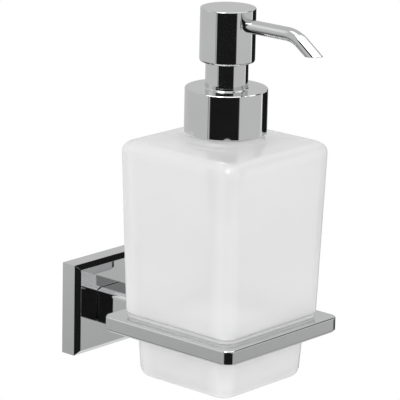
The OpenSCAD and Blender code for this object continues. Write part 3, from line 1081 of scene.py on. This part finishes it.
@dataclass
class Holder(SubAssembly):
    """The square arm, the ring, the screws between them and the liner in the ring."""

    arm_edge: float = 2.6
    arm_steps: int = 9
    notch_reach: float = 20.0
    groove_width: float = 0.55
    groove_depth: float = 1.1
    edge: float = 0.16
    ring_corner: float = 4.1
    ring_bevel: float = 1.2
    ring_drop: float = 0.8
    ring_upper_edge: float = 0.8
    ring_rim: float = 2.5
    opening: float = 59.3
    opening_corner: float = 7.6
    screw_head_r: float = 2.75
    screw_head: float = 3.0
    screw_r: float = 1.5
    screw_edge: float = 0.22
    socket_r: float = 1.45
    socket_depth: float = 1.6
    sink_r: float = 2.85
    sink_depth: float = 3.3
    bore_wall: float = 2.45
    skirt_wall: float = 0.95
    bore_corner: float = 6.6
    seat_corner: float = 5.9
    seat_rise: float = 0.35
    seat_width: float = 1.85

    def build(self) -> None:
        """Builds and dresses all pieces of the holder."""
        self.frame_box, self.screws = NodeBox.of("holder_ring"), NodeBox.of("ring_screws")
        self.ring_low = self.frame_box.low.z - self.ring_drop
        self.screw_x = self.screws.size.x / 2 - self.screw_head_r
        self.arm()
        self.ring()
        self.ring_screws()
        self.liner()

    def arm(self) -> None:
        """The arm: a rounded square bar with a ledge under the ring."""
        box, front = NodeBox.of("arm"), NodeBox.of("escutcheon").low.y
        side = rounded_square(box.size.x, self.arm_edge, self.arm_steps)
        root = rounded_square(box.size.x - 2 * self.groove_depth,
                              self.arm_edge - self.groove_depth, self.arm_steps)
        places = ((root, front), (root, front - self.groove_width),
                  (side, front - self.groove_width), (side, box.low.y))
        arm = stack("stock", [[Vector((x, y, z)) for x, z in loop] for loop, y in places],
                    Shape.CAPPED)
        back, reach = self.frame_box.high.y, self.notch_reach
        cut(arm, block((-reach, back - 2 * reach, self.ring_low), (reach, back, reach)))
        for x in (-self.screw_x, self.screw_x):
            cut(arm, rod(x, self.screws.middle.y, box.low.z - PAST,
                         box.low.z + self.sink_depth, self.sink_r))
        self.place(eased(arm, "arm_bar", self.edge))

    def ring(self) -> None:
        """The ring: square bars, rounded corners, and a bevel along the lower outer edge."""
        box, low = self.frame_box, self.ring_low
        half, inner, high = box.size.x / 2, self.opening / 2, box.high.z
        outline = rounded_outline([
            Corner(half - self.ring_bevel, low, 0.6), Corner(half, low + self.ring_bevel, 0.6),
            Corner(half, high, self.ring_upper_edge), Corner(inner, high, 0.25),
            Corner(inner, low, 0.3)], steps=8)

        def corner(out: float, _: float) -> float:
            """The corner radius, which follows the rim outside and the opening inside.

            Args:
                out: half the square's side.
                _: its height, which changes nothing here.

            Returns:
                The corner radius.
            """
            if out > half - self.ring_rim:
                return self.ring_corner - (half - out)
            widening = (self.ring_corner - self.opening_corner) / (half - inner)
            return self.opening_corner + (out - inner) * widening

        self.place(stack("ring_frame", square_loops(outline, corner, box.middle.y), Shape.RING))

    def ring_screws(self) -> None:
        """The two screws that hold the ring on the arm's ledge."""
        box = self.screws
        screw = rod(0, 0, 0, self.screw_head, self.screw_head_r)
        cut(screw, rod(0, 0, self.screw_head - PAST, box.size.z, self.screw_r), "UNION")
        cut(screw, rod(0, 0, -PAST, self.socket_depth, self.socket_r, 6))
        places = [(x, box.middle.y, box.low.z) for x in (-self.screw_x, self.screw_x)]
        self.place(spread("ring_fixing_screws", places,
                          eased(screw, "one_ring_screw", self.screw_edge, 2)))

    def liner(self) -> None:
        """The liner: a skirt inside the ring and a thin flange on top of it."""
        box, shelf = NodeBox.of("glass_liner"), self.frame_box.high.z
        half, low, top = box.size.x / 2, box.low.z, box.high.z
        bore = half - self.bore_wall
        skirt, lip = bore + self.skirt_wall, top + self.seat_rise
        outline = rounded_outline([
            Corner(bore, low, 0.2), Corner(skirt, low, 0.2), Corner(skirt, shelf, 0.05),
            Corner(half, shelf, 0.15), Corner(half, lip, 0.3),
            Corner(half - 0.6, lip - 0.05, 0.1), Corner(half - 1.0, top + 0.12, 0.0),
            Corner(half - 1.4, top + 0.02, 0.0), Corner(half - 1.9, top - 0.02, 0.0),
            Corner(bore, top - 0.02, 0.25)], steps=4)

        def corner(out: float, z: float) -> float:
            """The corner radius, smaller in the lip round the bottle's foot.

            Args:
                out: half the square's side.
                z: its height.

            Returns:
                The corner radius.
            """
            if z > shelf + 0.01 and out > half - self.seat_width:
                return self.seat_corner - (half - out)
            return self.bore_corner + min(out - bore, self.skirt_wall)

        self.place(stack("ring_liner", square_loops(outline, corner, box.middle.y), Shape.RING))


@dataclass
class Bottle(SubAssembly):
    """The frosted bottle: lower part, step, wide part, shoulder and threaded neck.

    The base's hollow is a row of squares: side, corner radius and height over the base. Each
    cavity table says what is taken off side and corner radius, and how far the square lies
    over the shoulder, the step or the floor.
    """

    base_side: float = 53.5
    waist_side: float = 56.9
    foot_side: float = 63.5
    lower_corner: float = 6.4
    upper_corner: float = 6.1
    base_edge: float = 3.6
    foot_edge: float = 2.3
    shoulder_edge: float = 5.0
    shoulder_end: float = 83.0
    shoulder_steps: int = 10
    shoulder_drop: float = 9.05
    crown_drop: float = 3.05
    crown_slope: float = 7.0
    crown_trail: float = 0.15
    crown_steps: int = 12
    root_r: float = 17.0
    root_fillet: float = 2.4
    neck_z: float = 93.2
    neck_r: float = 12.6
    lip_r: float = 13.2
    lip: float = 1.0
    bore_r: float = 10.8
    bore_z: float = 87.0
    bore_flare: float = 1.2
    bore_fall: float = 0.9
    glass: float = 3.4
    base_glass: float = 5.0
    heel_hold: float = 0.3
    lower_middle: float = -3.0
    waist_hold: float = 0.7
    waist_flare: tuple[tuple[float, float], ...] = ((0.0, 0.4), (-0.1, 0.15), (-0.35, 0.0))
    wide_shares: tuple[float, ...] = (0.04, 0.35, 0.65, 0.995)
    base_hollow: Squares = ((20, 6, 0.9), (36, 5, 0.85), (40, 4.6, 0.5), (42.5, 4.4, 0.1),
                            (43.5, 4.3, 0.0), (46.0, 4.25, 0.0))
    cavity_corner: float = 5.0
    cavity_throat: float = 9.0
    cavity_shoulder: Squares = ((4.5, 0.0, 1.35), (1.6, 0.0, 0.4), (0.4, 0.0, -0.6),
                                (0.0, 0.0, -2.0))
    cavity_foot: Squares = ((-0.2, 0.0, 7.4), (0.4, 0.0, 5.6))
    cavity_waist: Squares = ((-1.6, 0.0, 4.3), (-0.2, 0.0, 3.3), (0.0, 0.0, 2.0))
    cavity_floor: Squares = ((0.0, 0.0, 4.0), (0.6, 0.0, 2.2), (2.4, 0.4, 0.8), (6.0, 1.2, 0.0),
                             (20.0, 1.5, 0.0))
    cavity_widening: float = 1.0
    thread_turns: float = 1.6
    thread_pitch: float = 4.2
    thread_start: float = 4.2
    thread_r: float = 0.7
    thread_out: float = 0.3
    thread_height: float = 0.95
    thread_runout: float = 9.0
    thread_steps: int = 64

    def build(self) -> None:
        """Builds and dresses the bottle."""
        self.box = NodeBox.of("bottle")
        self.axis_y = self.box.middle.y
        self.step_z = NodeBox.of("glass_liner").high.z
        self.collar_z = NodeBox.of("collar_shell").low.z
        self.shoulder_z = self.collar_z - self.shoulder_drop
        skin, cavity = [*self.outside(), *self.neck()], self.inside()
        glass = stack("frosted_bottle", [*skin, *cavity], Shape.CAPPED)
        self.mark_cavity(glass, len(skin) * len(skin[0]))
        self.place(glass)
        self.thread()

    def mark_cavity(self, glass: Object, first: int) -> None:
        """Marks the points of the clear inner surface for the glass's material.

        Args:
            glass: the bottle, whose last two points are the middles of base and floor.
            first: the number of points on the etched outside.
        """
        marks = glass.data.attributes.new("cavity", "FLOAT", "POINT")
        values = [float(i >= first) for i in range(len(glass.data.vertices))]
        values[-2] = 0.0
        marks.data.foreach_set("value", values)

    def square(self, side: float, corner: float, z: float) -> Loop:
        """A rounded square round the bottle's centre line at a height."""
        return lifted(rounded_square(side, corner), self.axis_y, z)

    def heel(self, side: float, corner: float, edge: float, z: float) -> list[Loop]:
        """Loops of a rounded lower edge.

        Args:
            side: the square's side above the edge.
            corner: its corner radius there.
            edge: the edge's radius.
            z: the height of the edge's lowest point.

        Returns:
            The loops, from the bottom up.
        """
        loops = []
        for k in range(ARC_STEPS + 1):
            a = TURN / 4 * k / ARC_STEPS
            inset = edge * (1 - math.sin(a))
            loops.append(self.square(side - 2 * inset, corner - 0.6 * inset,
                                     z + edge * (1 - math.cos(a))))
        return loops

    def outside(self) -> list[Loop]:
        """Lays out the etched skin below the neck.

        Returns:
            The loops from the middle of the base up to the root of the neck.
        """
        base, step, shoulder = self.box.low.z, self.step_z, self.shoulder_z
        loops = [self.square(side, corner, base + up) for side, corner, up in self.base_hollow]
        loops += self.heel(self.base_side, self.lower_corner, self.base_edge, base)
        taper = (self.waist_side - self.base_side) / (step - base)
        loops += [self.square(self.base_side + taper * (z - base), self.lower_corner, z)
                  for z in (base + self.base_edge + self.heel_hold, self.lower_middle,
                            step - self.waist_hold)]
        loops += [self.square(self.waist_side - 2 * inset, self.lower_corner - inset / 2,
                              step - down) for inset, down in self.waist_flare]
        loops += self.heel(self.foot_side, self.upper_corner, self.foot_edge, step)
        top_side = self.box.size.x
        loops += [self.square(self.foot_side + (top_side - self.foot_side) * share,
                              self.upper_corner, step + (shoulder - step) * share)
                  for share in self.wide_shares]
        for k in range(1, self.shoulder_steps + 1):
            a = math.radians(self.shoulder_end * k / self.shoulder_steps)
            inset = self.shoulder_edge * (1 - math.cos(a))
            last = (top_side - 2 * inset, self.upper_corner - inset / 2,
                    shoulder + self.shoulder_edge * math.sin(a))
            loops.append(self.square(*last))
        return loops + self.crown(*last)

    def crown(self, side: float, corner: float, low: float) -> list[Loop]:
        """Loops over the crown, which turn the square into the neck's circle.

        Args:
            side: the square's side where the shoulder's edge ends.
            corner: its corner radius there.
            low: its height there.

        Returns:
            The loops up to the foot of the neck's root.
        """
        square = rounded_square(side, corner)
        circle = even_circle(self.root_r + self.root_fillet)
        rise = self.collar_z - self.crown_drop - low
        run = side / 2 - self.root_r - self.root_fillet
        lead = math.tan(math.radians(self.crown_slope)) * run / rise
        loops = []
        for k in range(1, self.crown_steps + 1):
            t = k / self.crown_steps
            share = ((t ** 3 - 2 * t ** 2 + t) * lead + (3 * t ** 2 - 2 * t ** 3)
                     + (t ** 3 - t ** 2) * self.crown_trail)
            loops.append(lifted(mixed(square, circle, t), self.axis_y, low + rise * share))
        return loops

    def neck(self) -> list[Loop]:
        """Lays out the neck.

        Returns:
            The loops of the concave root, the neck outside, its lip and the bore.
        """
        crown, fillet, top = self.collar_z - self.crown_drop, self.root_fillet, self.box.high.z
        outline = [(self.root_r + fillet * (1 - math.sin(a)), crown + fillet * (1 - math.cos(a)))
                   for a in (TURN / 4 * k / ARC_STEPS for k in range(1, ARC_STEPS + 1))]
        outline += rounded_outline([
            Corner(self.root_r, crown + fillet), Corner(self.root_r, self.neck_z, 0.25),
            Corner(self.neck_r, self.neck_z, 0.5), Corner(self.neck_r, top - self.lip - 0.4, 0.6),
            Corner(self.lip_r, top - self.lip, 0.2), Corner(self.lip_r, top, 0.4),
            Corner(self.bore_r, top, 0.5), Corner(self.bore_r, self.bore_z + 0.3, 0.8),
            Corner(self.bore_r + self.bore_flare, self.bore_z)], closed=False)[1:]
        return [lifted(even_circle(r), self.axis_y, z) for r, z in outline]

    def inside(self) -> list[Loop]:
        """Lays out the cavity.

        Returns:
            The loops of the cavity, from under the neck down to the glass floor.
        """
        step, corner = self.step_z, self.cavity_corner
        top, foot, waist, low = (side - 2 * self.glass for side in (
            self.box.size.x, self.foot_side, self.waist_side,
            self.base_side + self.cavity_widening))
        floor = self.box.low.z + self.base_glass
        circle = even_circle(self.bore_r + self.bore_flare)
        upper = rounded_square(top - self.cavity_throat, corner)
        loops = [lifted(mixed(circle, upper, t), self.axis_y, self.bore_z - self.bore_fall * t)
                 for t in (0.33, 0.66, 1.0)]
        parts = ((top, self.shoulder_z, self.cavity_shoulder), (foot, step, self.cavity_foot),
                 (waist, step, self.cavity_waist), (low, floor, self.cavity_floor))
        return loops + [self.square(side - less, corner - tighter, level + up)
                        for side, level, squares in parts for less, tighter, up in squares]

    def thread(self) -> None:
        """The neck's thread: a rounded rib that winds up and runs out at both ends."""
        count = int(self.thread_turns * self.thread_steps)
        path = []
        for k in range(count + 1):
            t = k / count
            sunk = 1 - min(1.0, min(t, 1 - t) * self.thread_runout)
            x, y = rotated(self.neck_r + self.thread_out - self.thread_height * sunk, 0.0,
                           TURN * self.thread_turns * t)
            path.append((x, self.axis_y + y, self.collar_z + self.thread_start
                         + self.thread_pitch * self.thread_turns * t))
        self.place(wire("neck_thread", path, self.thread_r, 12))


@dataclass
class Collar(SubAssembly):
    """The chrome collar, the closure inside it and the sleeve above."""

    wall: float = 1.2
    chamfer: float = 0.33
    fillet: float = 0.6
    foot_rise: float = 2.2
    ceiling: float = 0.8
    tube_r: float = 9.45
    tube_wall: float = 0.8
    thread_r: float = 13.7
    thread_top: float = 109.93
    waist_r: float = 12.05
    core_r: float = 8.0

    def build(self) -> None:
        """Builds and dresses the collar's pieces."""
        shell, sleeve = NodeBox.of("collar_shell"), NodeBox.of("neck_sleeve")
        self.axis_y = shell.middle.y
        radius, low, high = shell.size.x / 2, shell.low.z, shell.high.z
        inner, floor = radius - self.wall, sleeve.low.z
        ceiling, tube, bore = floor + self.ceiling, self.tube_r, self.tube_r - self.tube_wall
        foot = high + self.fillet * self.foot_rise
        self.turn("collar_cap", [
            Corner(inner, low, 0.25), Corner(radius, low, 0.45),
            Corner(radius, high - self.chamfer, 0.1), Corner(radius - self.chamfer, high, 0.1),
            Corner(tube + 0.1, high, self.fillet), Corner(tube + 0.1, foot, 0.02),
            Corner(tube + 0.04, foot, 0.02), Corner(tube + 0.04, ceiling, 0.1),
            Corner(inner, ceiling, 0.3)], 8)
        flange = sleeve.size.x / 2
        self.turn("pump_sleeve", [
            Corner(bore, floor, 0.2), Corner(flange, floor, 0.2), Corner(flange, ceiling, 0.2),
            Corner(tube, ceiling, 0.1), Corner(tube, sleeve.high.z, 0.25),
            Corner(bore, sleeve.high.z, 0.2)])
        closure = NodeBox.of("closure")
        rim, low = closure.size.x / 2, closure.low.z
        self.turn("closure_core", [
            Corner(self.thread_r, low, 0.4), Corner(rim, low, 0.3), Corner(rim, ceiling, 0.3),
            Corner(self.waist_r, ceiling, 0.1), Corner(self.waist_r, floor, 0.1),
            Corner(self.core_r, floor, 0.2), Corner(self.core_r, self.thread_top, 0.2),
            Corner(self.thread_r, self.thread_top, 0.3)])


@dataclass
class Head(SubAssembly):
    """The chrome head, its actuator and bush, and the bent spout."""

    wall: float = 1.1
    top_wall: float = 1.2
    rim: float = 0.55
    rim_r: float = 9.75
    foot_bevel: float = 0.95
    bush_r: float = 9.5
    spout_wall: float = 0.9
    bend_r: float = 14.5
    bend_angle: float = 36.5
    bend_steps: int = 28
    sides: int = 64
    end_length: float = 8.0
    cut_tilt: float = 6.0
    straight: float = 33.6

    def build(self) -> None:
        """Builds and dresses the head's pieces."""
        box, bush = NodeBox.of("head_shell"), NodeBox.of("guide_bush")
        self.axis_y = box.middle.y
        radius, low, high = box.size.x / 2, box.low.z, box.high.z
        inner, ceiling, floor = radius - self.wall, high - self.top_wall, low + self.wall
        outline = rounded_outline([
            Corner(self.rim_r, low, 0.2), Corner(radius - self.foot_bevel, low, 0.3),
            Corner(radius - 0.3, low + 0.3, 0.3), Corner(radius, low + self.foot_bevel, 0.4),
            Corner(radius, high, self.rim), Corner(0.0, high)], closed=False, steps=8)
        outline += rounded_outline([
            Corner(0.0, ceiling), Corner(inner, ceiling, 0.3), Corner(inner, floor, 0.2),
            Corner(self.rim_r, floor, 0.1), Corner(self.rim_r, low)], closed=False, steps=4)[:-1]
        self.place(turned("head_cap", outline, self.axis_y, self.segments))
        rim, low, high = bush.size.x / 2, bush.low.z, bush.high.z
        self.turn("head_bush", [
            Corner(self.bush_r, low, 0.3), Corner(rim, low, 0.2), Corner(rim, high, 0.2),
            Corner(self.bush_r, high, 0.3)])
        self.dress("actuator", PUMP)
        self.spout()

    def spout(self) -> None:
        """The spout: one bent tube, open at its slanted end."""
        box = NodeBox.of("spout")
        outer = box.size.x / 2
        inner, high = outer - self.spout_wall, box.high.z - outer
        bend, tilt = math.radians(self.bend_angle), math.radians(self.cut_tilt)
        start = Vector((0, box.high.y, high))
        turn_at = Vector((0, self.axis_y - self.straight, high))
        stations = [(start.lerp(turn_at, share), 0.0) for share in (0.0, 0.01, 0.3, 0.7, 0.99)]
        for k in range(self.bend_steps + 1):
            a = bend * k / self.bend_steps
            stations.append((turn_at + Vector((0, -self.bend_r * math.sin(a),
                                               -self.bend_r * (1 - math.cos(a)))), a))
        elbow = stations[-1][0]
        ahead = Vector((0, -math.cos(bend), -math.sin(bend)))
        end = elbow + ahead * self.end_length
        normal = Vector((0, -math.sin(tilt), -math.cos(tilt)))

        def loop(centre: Vector, angle: float, r: float) -> Loop:
            """A circle across the tube.

            Args:
                centre: where the tube passes.
                angle: how far it has bent down there.
                r: the circle's radius.

            Returns:
                The circle.
            """
            up = Vector((0, -math.sin(angle), math.cos(angle)))
            return [centre + Vector((1, 0, 0)) * (r * math.cos(t)) + up * (r * math.sin(t))
                    for t in (TURN * i / self.sides for i in range(self.sides))]

        def slant(r: float, back: float) -> Loop:
            """A circle of the straight end, carried along the tube to the cut.

            Args:
                r: the circle's radius.
                back: how far it stays back from the cut.

            Returns:
                The slanted loop.
            """
            return [p + ahead * ((end - p).dot(normal) / ahead.dot(normal) - back)
                    for p in loop(elbow, bend, r)]

        loops = [loop(c, a, outer) for c, a in stations]
        loops += [slant(r, back) for r, back in (
            (outer, 0.5), (outer, 0.16), (outer - 0.05, 0.05), (outer - 0.15, 0.0),
            (inner + 0.15, 0.0), (inner + 0.04, 0.04), (inner, 0.15), (inner, 0.5))]
        loops += [loop(c, a, inner) for c, a in reversed(stations)]
        self.place(stack("spout_tube", loops, Shape.RING))


@dataclass
class Pump(SubAssembly):
    """Everything inside: housing, gasket, guide, stem, piston, spring, tube and balls."""

    segments: int = 96
    gasket_r: float = 6.6
    stem_r: float = 1.6
    suction_r: float = 2.1
    socket_r: float = 3.03
    socket_outer: float = 4.6
    socket_cone: float = 8.0
    barrel_outer: float = 6.3
    barrel_r: float = 5.5
    barrel_neck: float = 6.9
    flange: float = 1.4
    cage_r: float = 1.9
    ball_r: float = 2.9
    seat_r: float = 1.5
    guide_r: float = 3.18
    guide_plug: float = 5.47
    guide_skirt: float = 6.93
    guide_drop: float = 2.3
    piston_r: float = 3.13
    piston_relief: float = 0.45
    wire_r: float = 0.45
    closed_gap: float = 1.02
    turns: float = 8.0
    turn_steps: int = 40
    stroke: float = 10.5

    def build(self) -> None:
        """Builds and dresses the pump's pieces."""
        self.axis_y = NodeBox.of("stem").middle.y
        self.housing()
        self.tube("gasket_ring", self.gasket_r, 0.3)
        self.tube("stem_tube", self.stem_r, 0.25)
        self.tube("suction_tube", self.suction_r, 0.2)
        self.guide()
        self.piston()
        self.spring()
        self.dress("inlet_ball", BALL)
        self.dress("outlet_ball", BALL)

    def tube(self, name: str, inner: float, edge: float) -> None:
        """A plain turned tube or washer with eased edges, as high and wide as its node.

        Args:
            name: the piece's name.
            inner: inner radius.
            edge: radius of its edges.
        """
        box = NodeBox.of(PIECES[name].node)
        outer, low, high = box.size.x / 2, box.low.z, box.high.z
        self.turn(name, [Corner(r, z, edge) for r, z in ((inner, low), (outer, low),
                                                         (outer, high), (inner, high))])

    def housing(self) -> None:
        """The barrel with its flange, neck, valve seat and tube socket."""
        box, tube_top = NodeBox.of("pump_housing"), NodeBox.of("dip_tube").high.z
        low, high, rim = box.low.z, box.high.z, box.size.x / 2
        seat, floor = tube_top + 2, tube_top + self.socket_cone
        flange = NodeBox.of("housing_gasket").high.z
        shelf = flange + self.flange
        self.turn("pump_barrel", [
            Corner(self.socket_r, low, 0.2), Corner(self.socket_outer, low, 0.3),
            Corner(self.socket_outer, seat, 1.0), Corner(self.barrel_outer, floor - 1, 0.8),
            Corner(self.barrel_outer, flange, 0.3), Corner(rim, flange, 0.3),
            Corner(rim, shelf, 0.3), Corner(self.barrel_neck, shelf, 0.3),
            Corner(self.barrel_neck, high, 0.25), Corner(self.barrel_r, high, 0.25),
            Corner(self.barrel_r, floor, 0.3), Corner(self.cage_r, floor, 0.2),
            Corner(self.cage_r, floor - 0.8, 0.2), Corner(self.ball_r, floor - 0.8, 0.2),
            Corner(self.ball_r, seat + 1.6, 0.1), Corner(self.seat_r, seat, 0.1),
            Corner(self.seat_r, tube_top, 0.1), Corner(self.socket_r, tube_top, 0.1)])

    def guide(self) -> None:
        """The cap on the barrel that guides the stem."""
        box, top = NodeBox.of("chaplet"), NodeBox.of("pump_housing").high.z
        low, high, rim, foot = box.low.z, box.high.z, box.size.x / 2, top - self.guide_drop
        self.turn("stem_guide", [
            Corner(self.guide_r, low, 0.3), Corner(self.guide_plug, low, 0.4),
            Corner(self.guide_plug, top, 0.1), Corner(self.guide_skirt, top, 0.2),
            Corner(self.guide_skirt, foot, 0.2), Corner(rim, foot, 0.3),
            Corner(rim, high, 0.6), Corner(self.guide_r, high, 0.3)])

    def piston(self) -> None:
        """The piston with a sealing lip at each end."""
        box = NodeBox.of("piston")
        low, high, lip = box.low.z, box.high.z, box.size.x / 2
        waist = lip - self.piston_relief
        self.turn("pump_piston", [
            Corner(self.piston_r, low, 0.2), Corner(waist, low, 0.2),
            Corner(lip, low + 0.5, 0.3), Corner(lip, low + 1.5, 0.3),
            Corner(waist, low + 2, 0.3), Corner(waist, high - 2, 0.3),
            Corner(lip, high - 1.5, 0.3), Corner(lip, high - 0.5, 0.3),
            Corner(waist, high, 0.2), Corner(self.piston_r, high, 0.2)])

    def spring(self) -> None:
        """The return spring, with closed coils at both ends."""
        box = NodeBox.of("return_spring")
        low, high = box.low.z + self.wire_r, box.high.z - self.wire_r
        radius, length = box.size.x / 2 - self.wire_r, box.size.z
        closed = 2 * self.wire_r * self.closed_gap
        path = []
        all_turns = self.turns + 2
        count = int(all_turns * self.turn_steps)
        for k in range(count + 1):
            turn = all_turns * k / count
            rise = min(turn, 1.0) * closed + max(0.0, turn - self.turns - 1) * closed
            free = min(max(turn - 1.0, 0.0), self.turns) / self.turns
            x, y = rotated(radius, 0.0, TURN * turn)
            path.append((x, self.axis_y + y, low + rise + free * (high - low - 2 * closed)))
        coil = wire("spring_coil", path, self.wire_r)
        self.place(coil)
        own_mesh(coil)


# ------------------------------------------------------------------ studio


DARK = 0.0118  # the brightness of the dark cards


@dataclass(frozen=True)
class Card:
    """A dark or bright card of the studio, by its direction from the object.

    Azimuths are degrees to the right of the studio's front, elevations degrees above the
    level. The level is the card's brightness, and soft the half width of its edges.
    """

    left: float
    right: float
    low: float
    high: float
    level: float
    soft: float = 2.0


@dataclass
class Studio:
    """Camera, world light and floor."""

    azimuth: float = -48.5199
    pitch: float = 15.2657
    roll: float = 1.2489
    lens: float = 255.056
    sensor: float = 36.0
    place: tuple[float, float, float] = (-0.911027, -0.869230, 0.391502)
    plain_low: float = 0.97
    plain_high: float = 1.03
    mirror_low: float = 0.42
    mirror_high: float = 0.635
    mirror_step: tuple[float, float] = (-20.0, -15.0)
    cards: tuple[Card, ...] = (
        Card(-46, 37, -70, 26, DARK),
        Card(-50.8, -49.5, -70, 26, DARK, 0.4),
        Card(30, 62, -70, -16, DARK, 1.0),
        Card(119, 161, -30, 12, DARK),
        Card(101.5, 174, -26, -16, DARK, 0.6),
        Card(113.5, 117.5, -30, 12, 1.1, 0.8),
        Card(100, 128, 19, 45, DARK),
        Card(86, 97, 12.5, 20, 0.28, 1.5),
        Card(-110, -80, 12, 42, 0.93, 4.0),
        Card(-140, -80, -75, -32, 0.08, 4.0),
        Card(-175, -140, -60, -32, 0.7, 3.0),
        Card(141, 178, -60, -38, 0.82, 2.0),
        Card(102, 134, -40, -28, 0.25, 1.5),
        Card(-60, -46, 11, 29, DARK, 1.0),
        Card(-20, 138, 58, 90.5, 1.8),
        Card(100, 138, 44, 60, 1.8),
        Card(-125, 142, 68, 92, 1.8, 1.5),
        Card(-54, -19, 33, 76, 5.0),
        Card(-104, -53, 59, 78, 2.0, 1.5),
        Card(-61, -53, 45, 60, 2.0, 1.0),
    )
    floor_r: float = 1.2
    floor_drop: float = 1.5
    floor_y: float = -0.078
    floor_sides: int = 96
    floor_cloud: float = 6.0
    floor_dark: Colour = (0.82, 0.82, 0.82)
    floor_light: Colour = (0.86, 0.86, 0.86)

    def build(self) -> None:
        """Sets up camera, world, floor and colour management."""
        self.camera()
        self.world()
        self.floor()
        bpy.context.scene.view_settings.view_transform = "Standard"

    def camera(self) -> None:
        """The camera, turned by its azimuth, pitch and roll."""
        a, p, r = (math.radians(v) for v in (self.azimuth, self.pitch, self.roll))
        ahead = Vector((-math.sin(a) * math.cos(p), math.cos(a) * math.cos(p), -math.sin(p)))
        right = Vector((math.cos(a), math.sin(a), 0))
        up = right.cross(ahead)
        across = right * math.cos(r) + up * math.sin(r)
        above = up * math.cos(r) - right * math.sin(r)
        data = bpy.data.cameras.new("camera")
        data.lens, data.sensor_width, data.sensor_fit = self.lens, self.sensor, "HORIZONTAL"
        camera = bpy.data.objects.new("camera", data)
        turn = Matrix((across, above, -ahead)).transposed().to_4x4()
        camera.matrix_world = Matrix.Translation(self.place) @ turn
        bpy.context.scene.collection.objects.link(camera)
        bpy.context.scene.camera = camera

    def world(self) -> None:
        """A pale surround with cards for reflections; the camera sees plain white."""
        world = bpy.data.worlds.new("studio")
        world.use_nodes = True
        bpy.context.scene.world = world
        graph = Graph(world.node_tree)
        x, y, z = graph.split("Generated")
        a = math.radians(self.azimuth)
        back = graph.math("ADD", graph.math("MULTIPLY", x, math.sin(a)),
                          graph.math("MULTIPLY", y, -math.cos(a)))
        side = graph.math("ADD", graph.math("MULTIPLY", x, math.cos(a)),
                          graph.math("MULTIPLY", y, math.sin(a)))
        azimuth = graph.math("DEGREES", graph.math("ARCTAN2", side, back))
        elevation = graph.math("DEGREES", graph.math("ARCSINE", z))
        level = graph.ramp(elevation, *self.mirror_step, self.mirror_low, self.mirror_high)
        for card in self.cards:
            level = self.card(graph, card, azimuth, elevation, level)
        seen = graph.add("ShaderNodeLightPath")
        soft = graph.ramp(z, -1, 1, self.plain_low, self.plain_high)
        level = graph.blend(seen.outputs["Is Glossy Ray"], soft, level)
        white = graph.math("MAXIMUM", seen.outputs["Is Camera Ray"],
                           seen.outputs["Is Transmission Ray"])
        sky = graph.add("ShaderNodeBackground", Color=(1, 1, 1, 1),
                        Strength=graph.blend(white, level, 1.0))
        graph.add("ShaderNodeOutputWorld", Surface=sky.outputs[0])

    def card(self, graph: Graph, card: Card, azimuth: Socket, elevation: Socket,
             level: Socket) -> Socket:
        """Lays one card over the brightness so far.

        Args:
            graph: the world's nodes.
            card: the card.
            azimuth: direction to the right of the studio's front.
            elevation: direction above the level.
            level: the brightness without the card.

        Returns:
            The brightness with the card.
        """
        s = card.soft
        mask = graph.ramp(azimuth, card.left - s, card.left + s, 0, 1, True)
        for part in (graph.ramp(azimuth, card.right - s, card.right + s, 1, 0, True),
                     graph.ramp(elevation, card.low - s, card.low + s, 0, 1, True),
                     graph.ramp(elevation, card.high - s, card.high + s, 1, 0, True)):
            mask = graph.math("MULTIPLY", mask, part)
        change = graph.math("SUBTRACT", card.level, level)
        return graph.math("MULTIPLY_ADD", mask, change, level)

    def floor(self) -> None:
        """A round pale floor well below the object, white to the camera."""
        made = bpy.data.materials.new("pale_floor")
        made.use_nodes = True
        graph = Graph(made.node_tree)
        tint = graph.shade(graph.noise(self.floor_cloud, 3.0), self.floor_dark, self.floor_light)
        paper = graph.add("ShaderNodeBsdfDiffuse", Color=tint)
        white = graph.add("ShaderNodeEmission", Color=(1, 1, 1, 1), Strength=1.0)
        seen = graph.add("ShaderNodeLightPath")
        mix = graph.add("ShaderNodeMixShader", Fac=seen.outputs["Is Camera Ray"])
        graph.feed(mix.inputs[1], paper.outputs[0])
        graph.feed(mix.inputs[2], white.outputs[0])
        graph.surface(mix)
        mesh = bmesh.new()
        centre = Matrix.Translation((0, self.floor_y / MM, -self.floor_drop / MM))
        bmesh.ops.create_circle(mesh, cap_ends=True, segments=self.floor_sides,
                                radius=self.floor_r / MM, matrix=centre)
        floor = mesh_object("floor", mesh)
        floor.data.materials.append(made)


def main() -> None:
    """Builds every sub-assembly over the frame."""
    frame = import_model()
    for kind in (WallPlate, Holder, Bottle, Collar, Pump, Head):
        kind(frame).build()
    Studio().build()


if __name__ == "__main__":
    logging.basicConfig(level=logging.INFO, format="%(message)s")
    main()
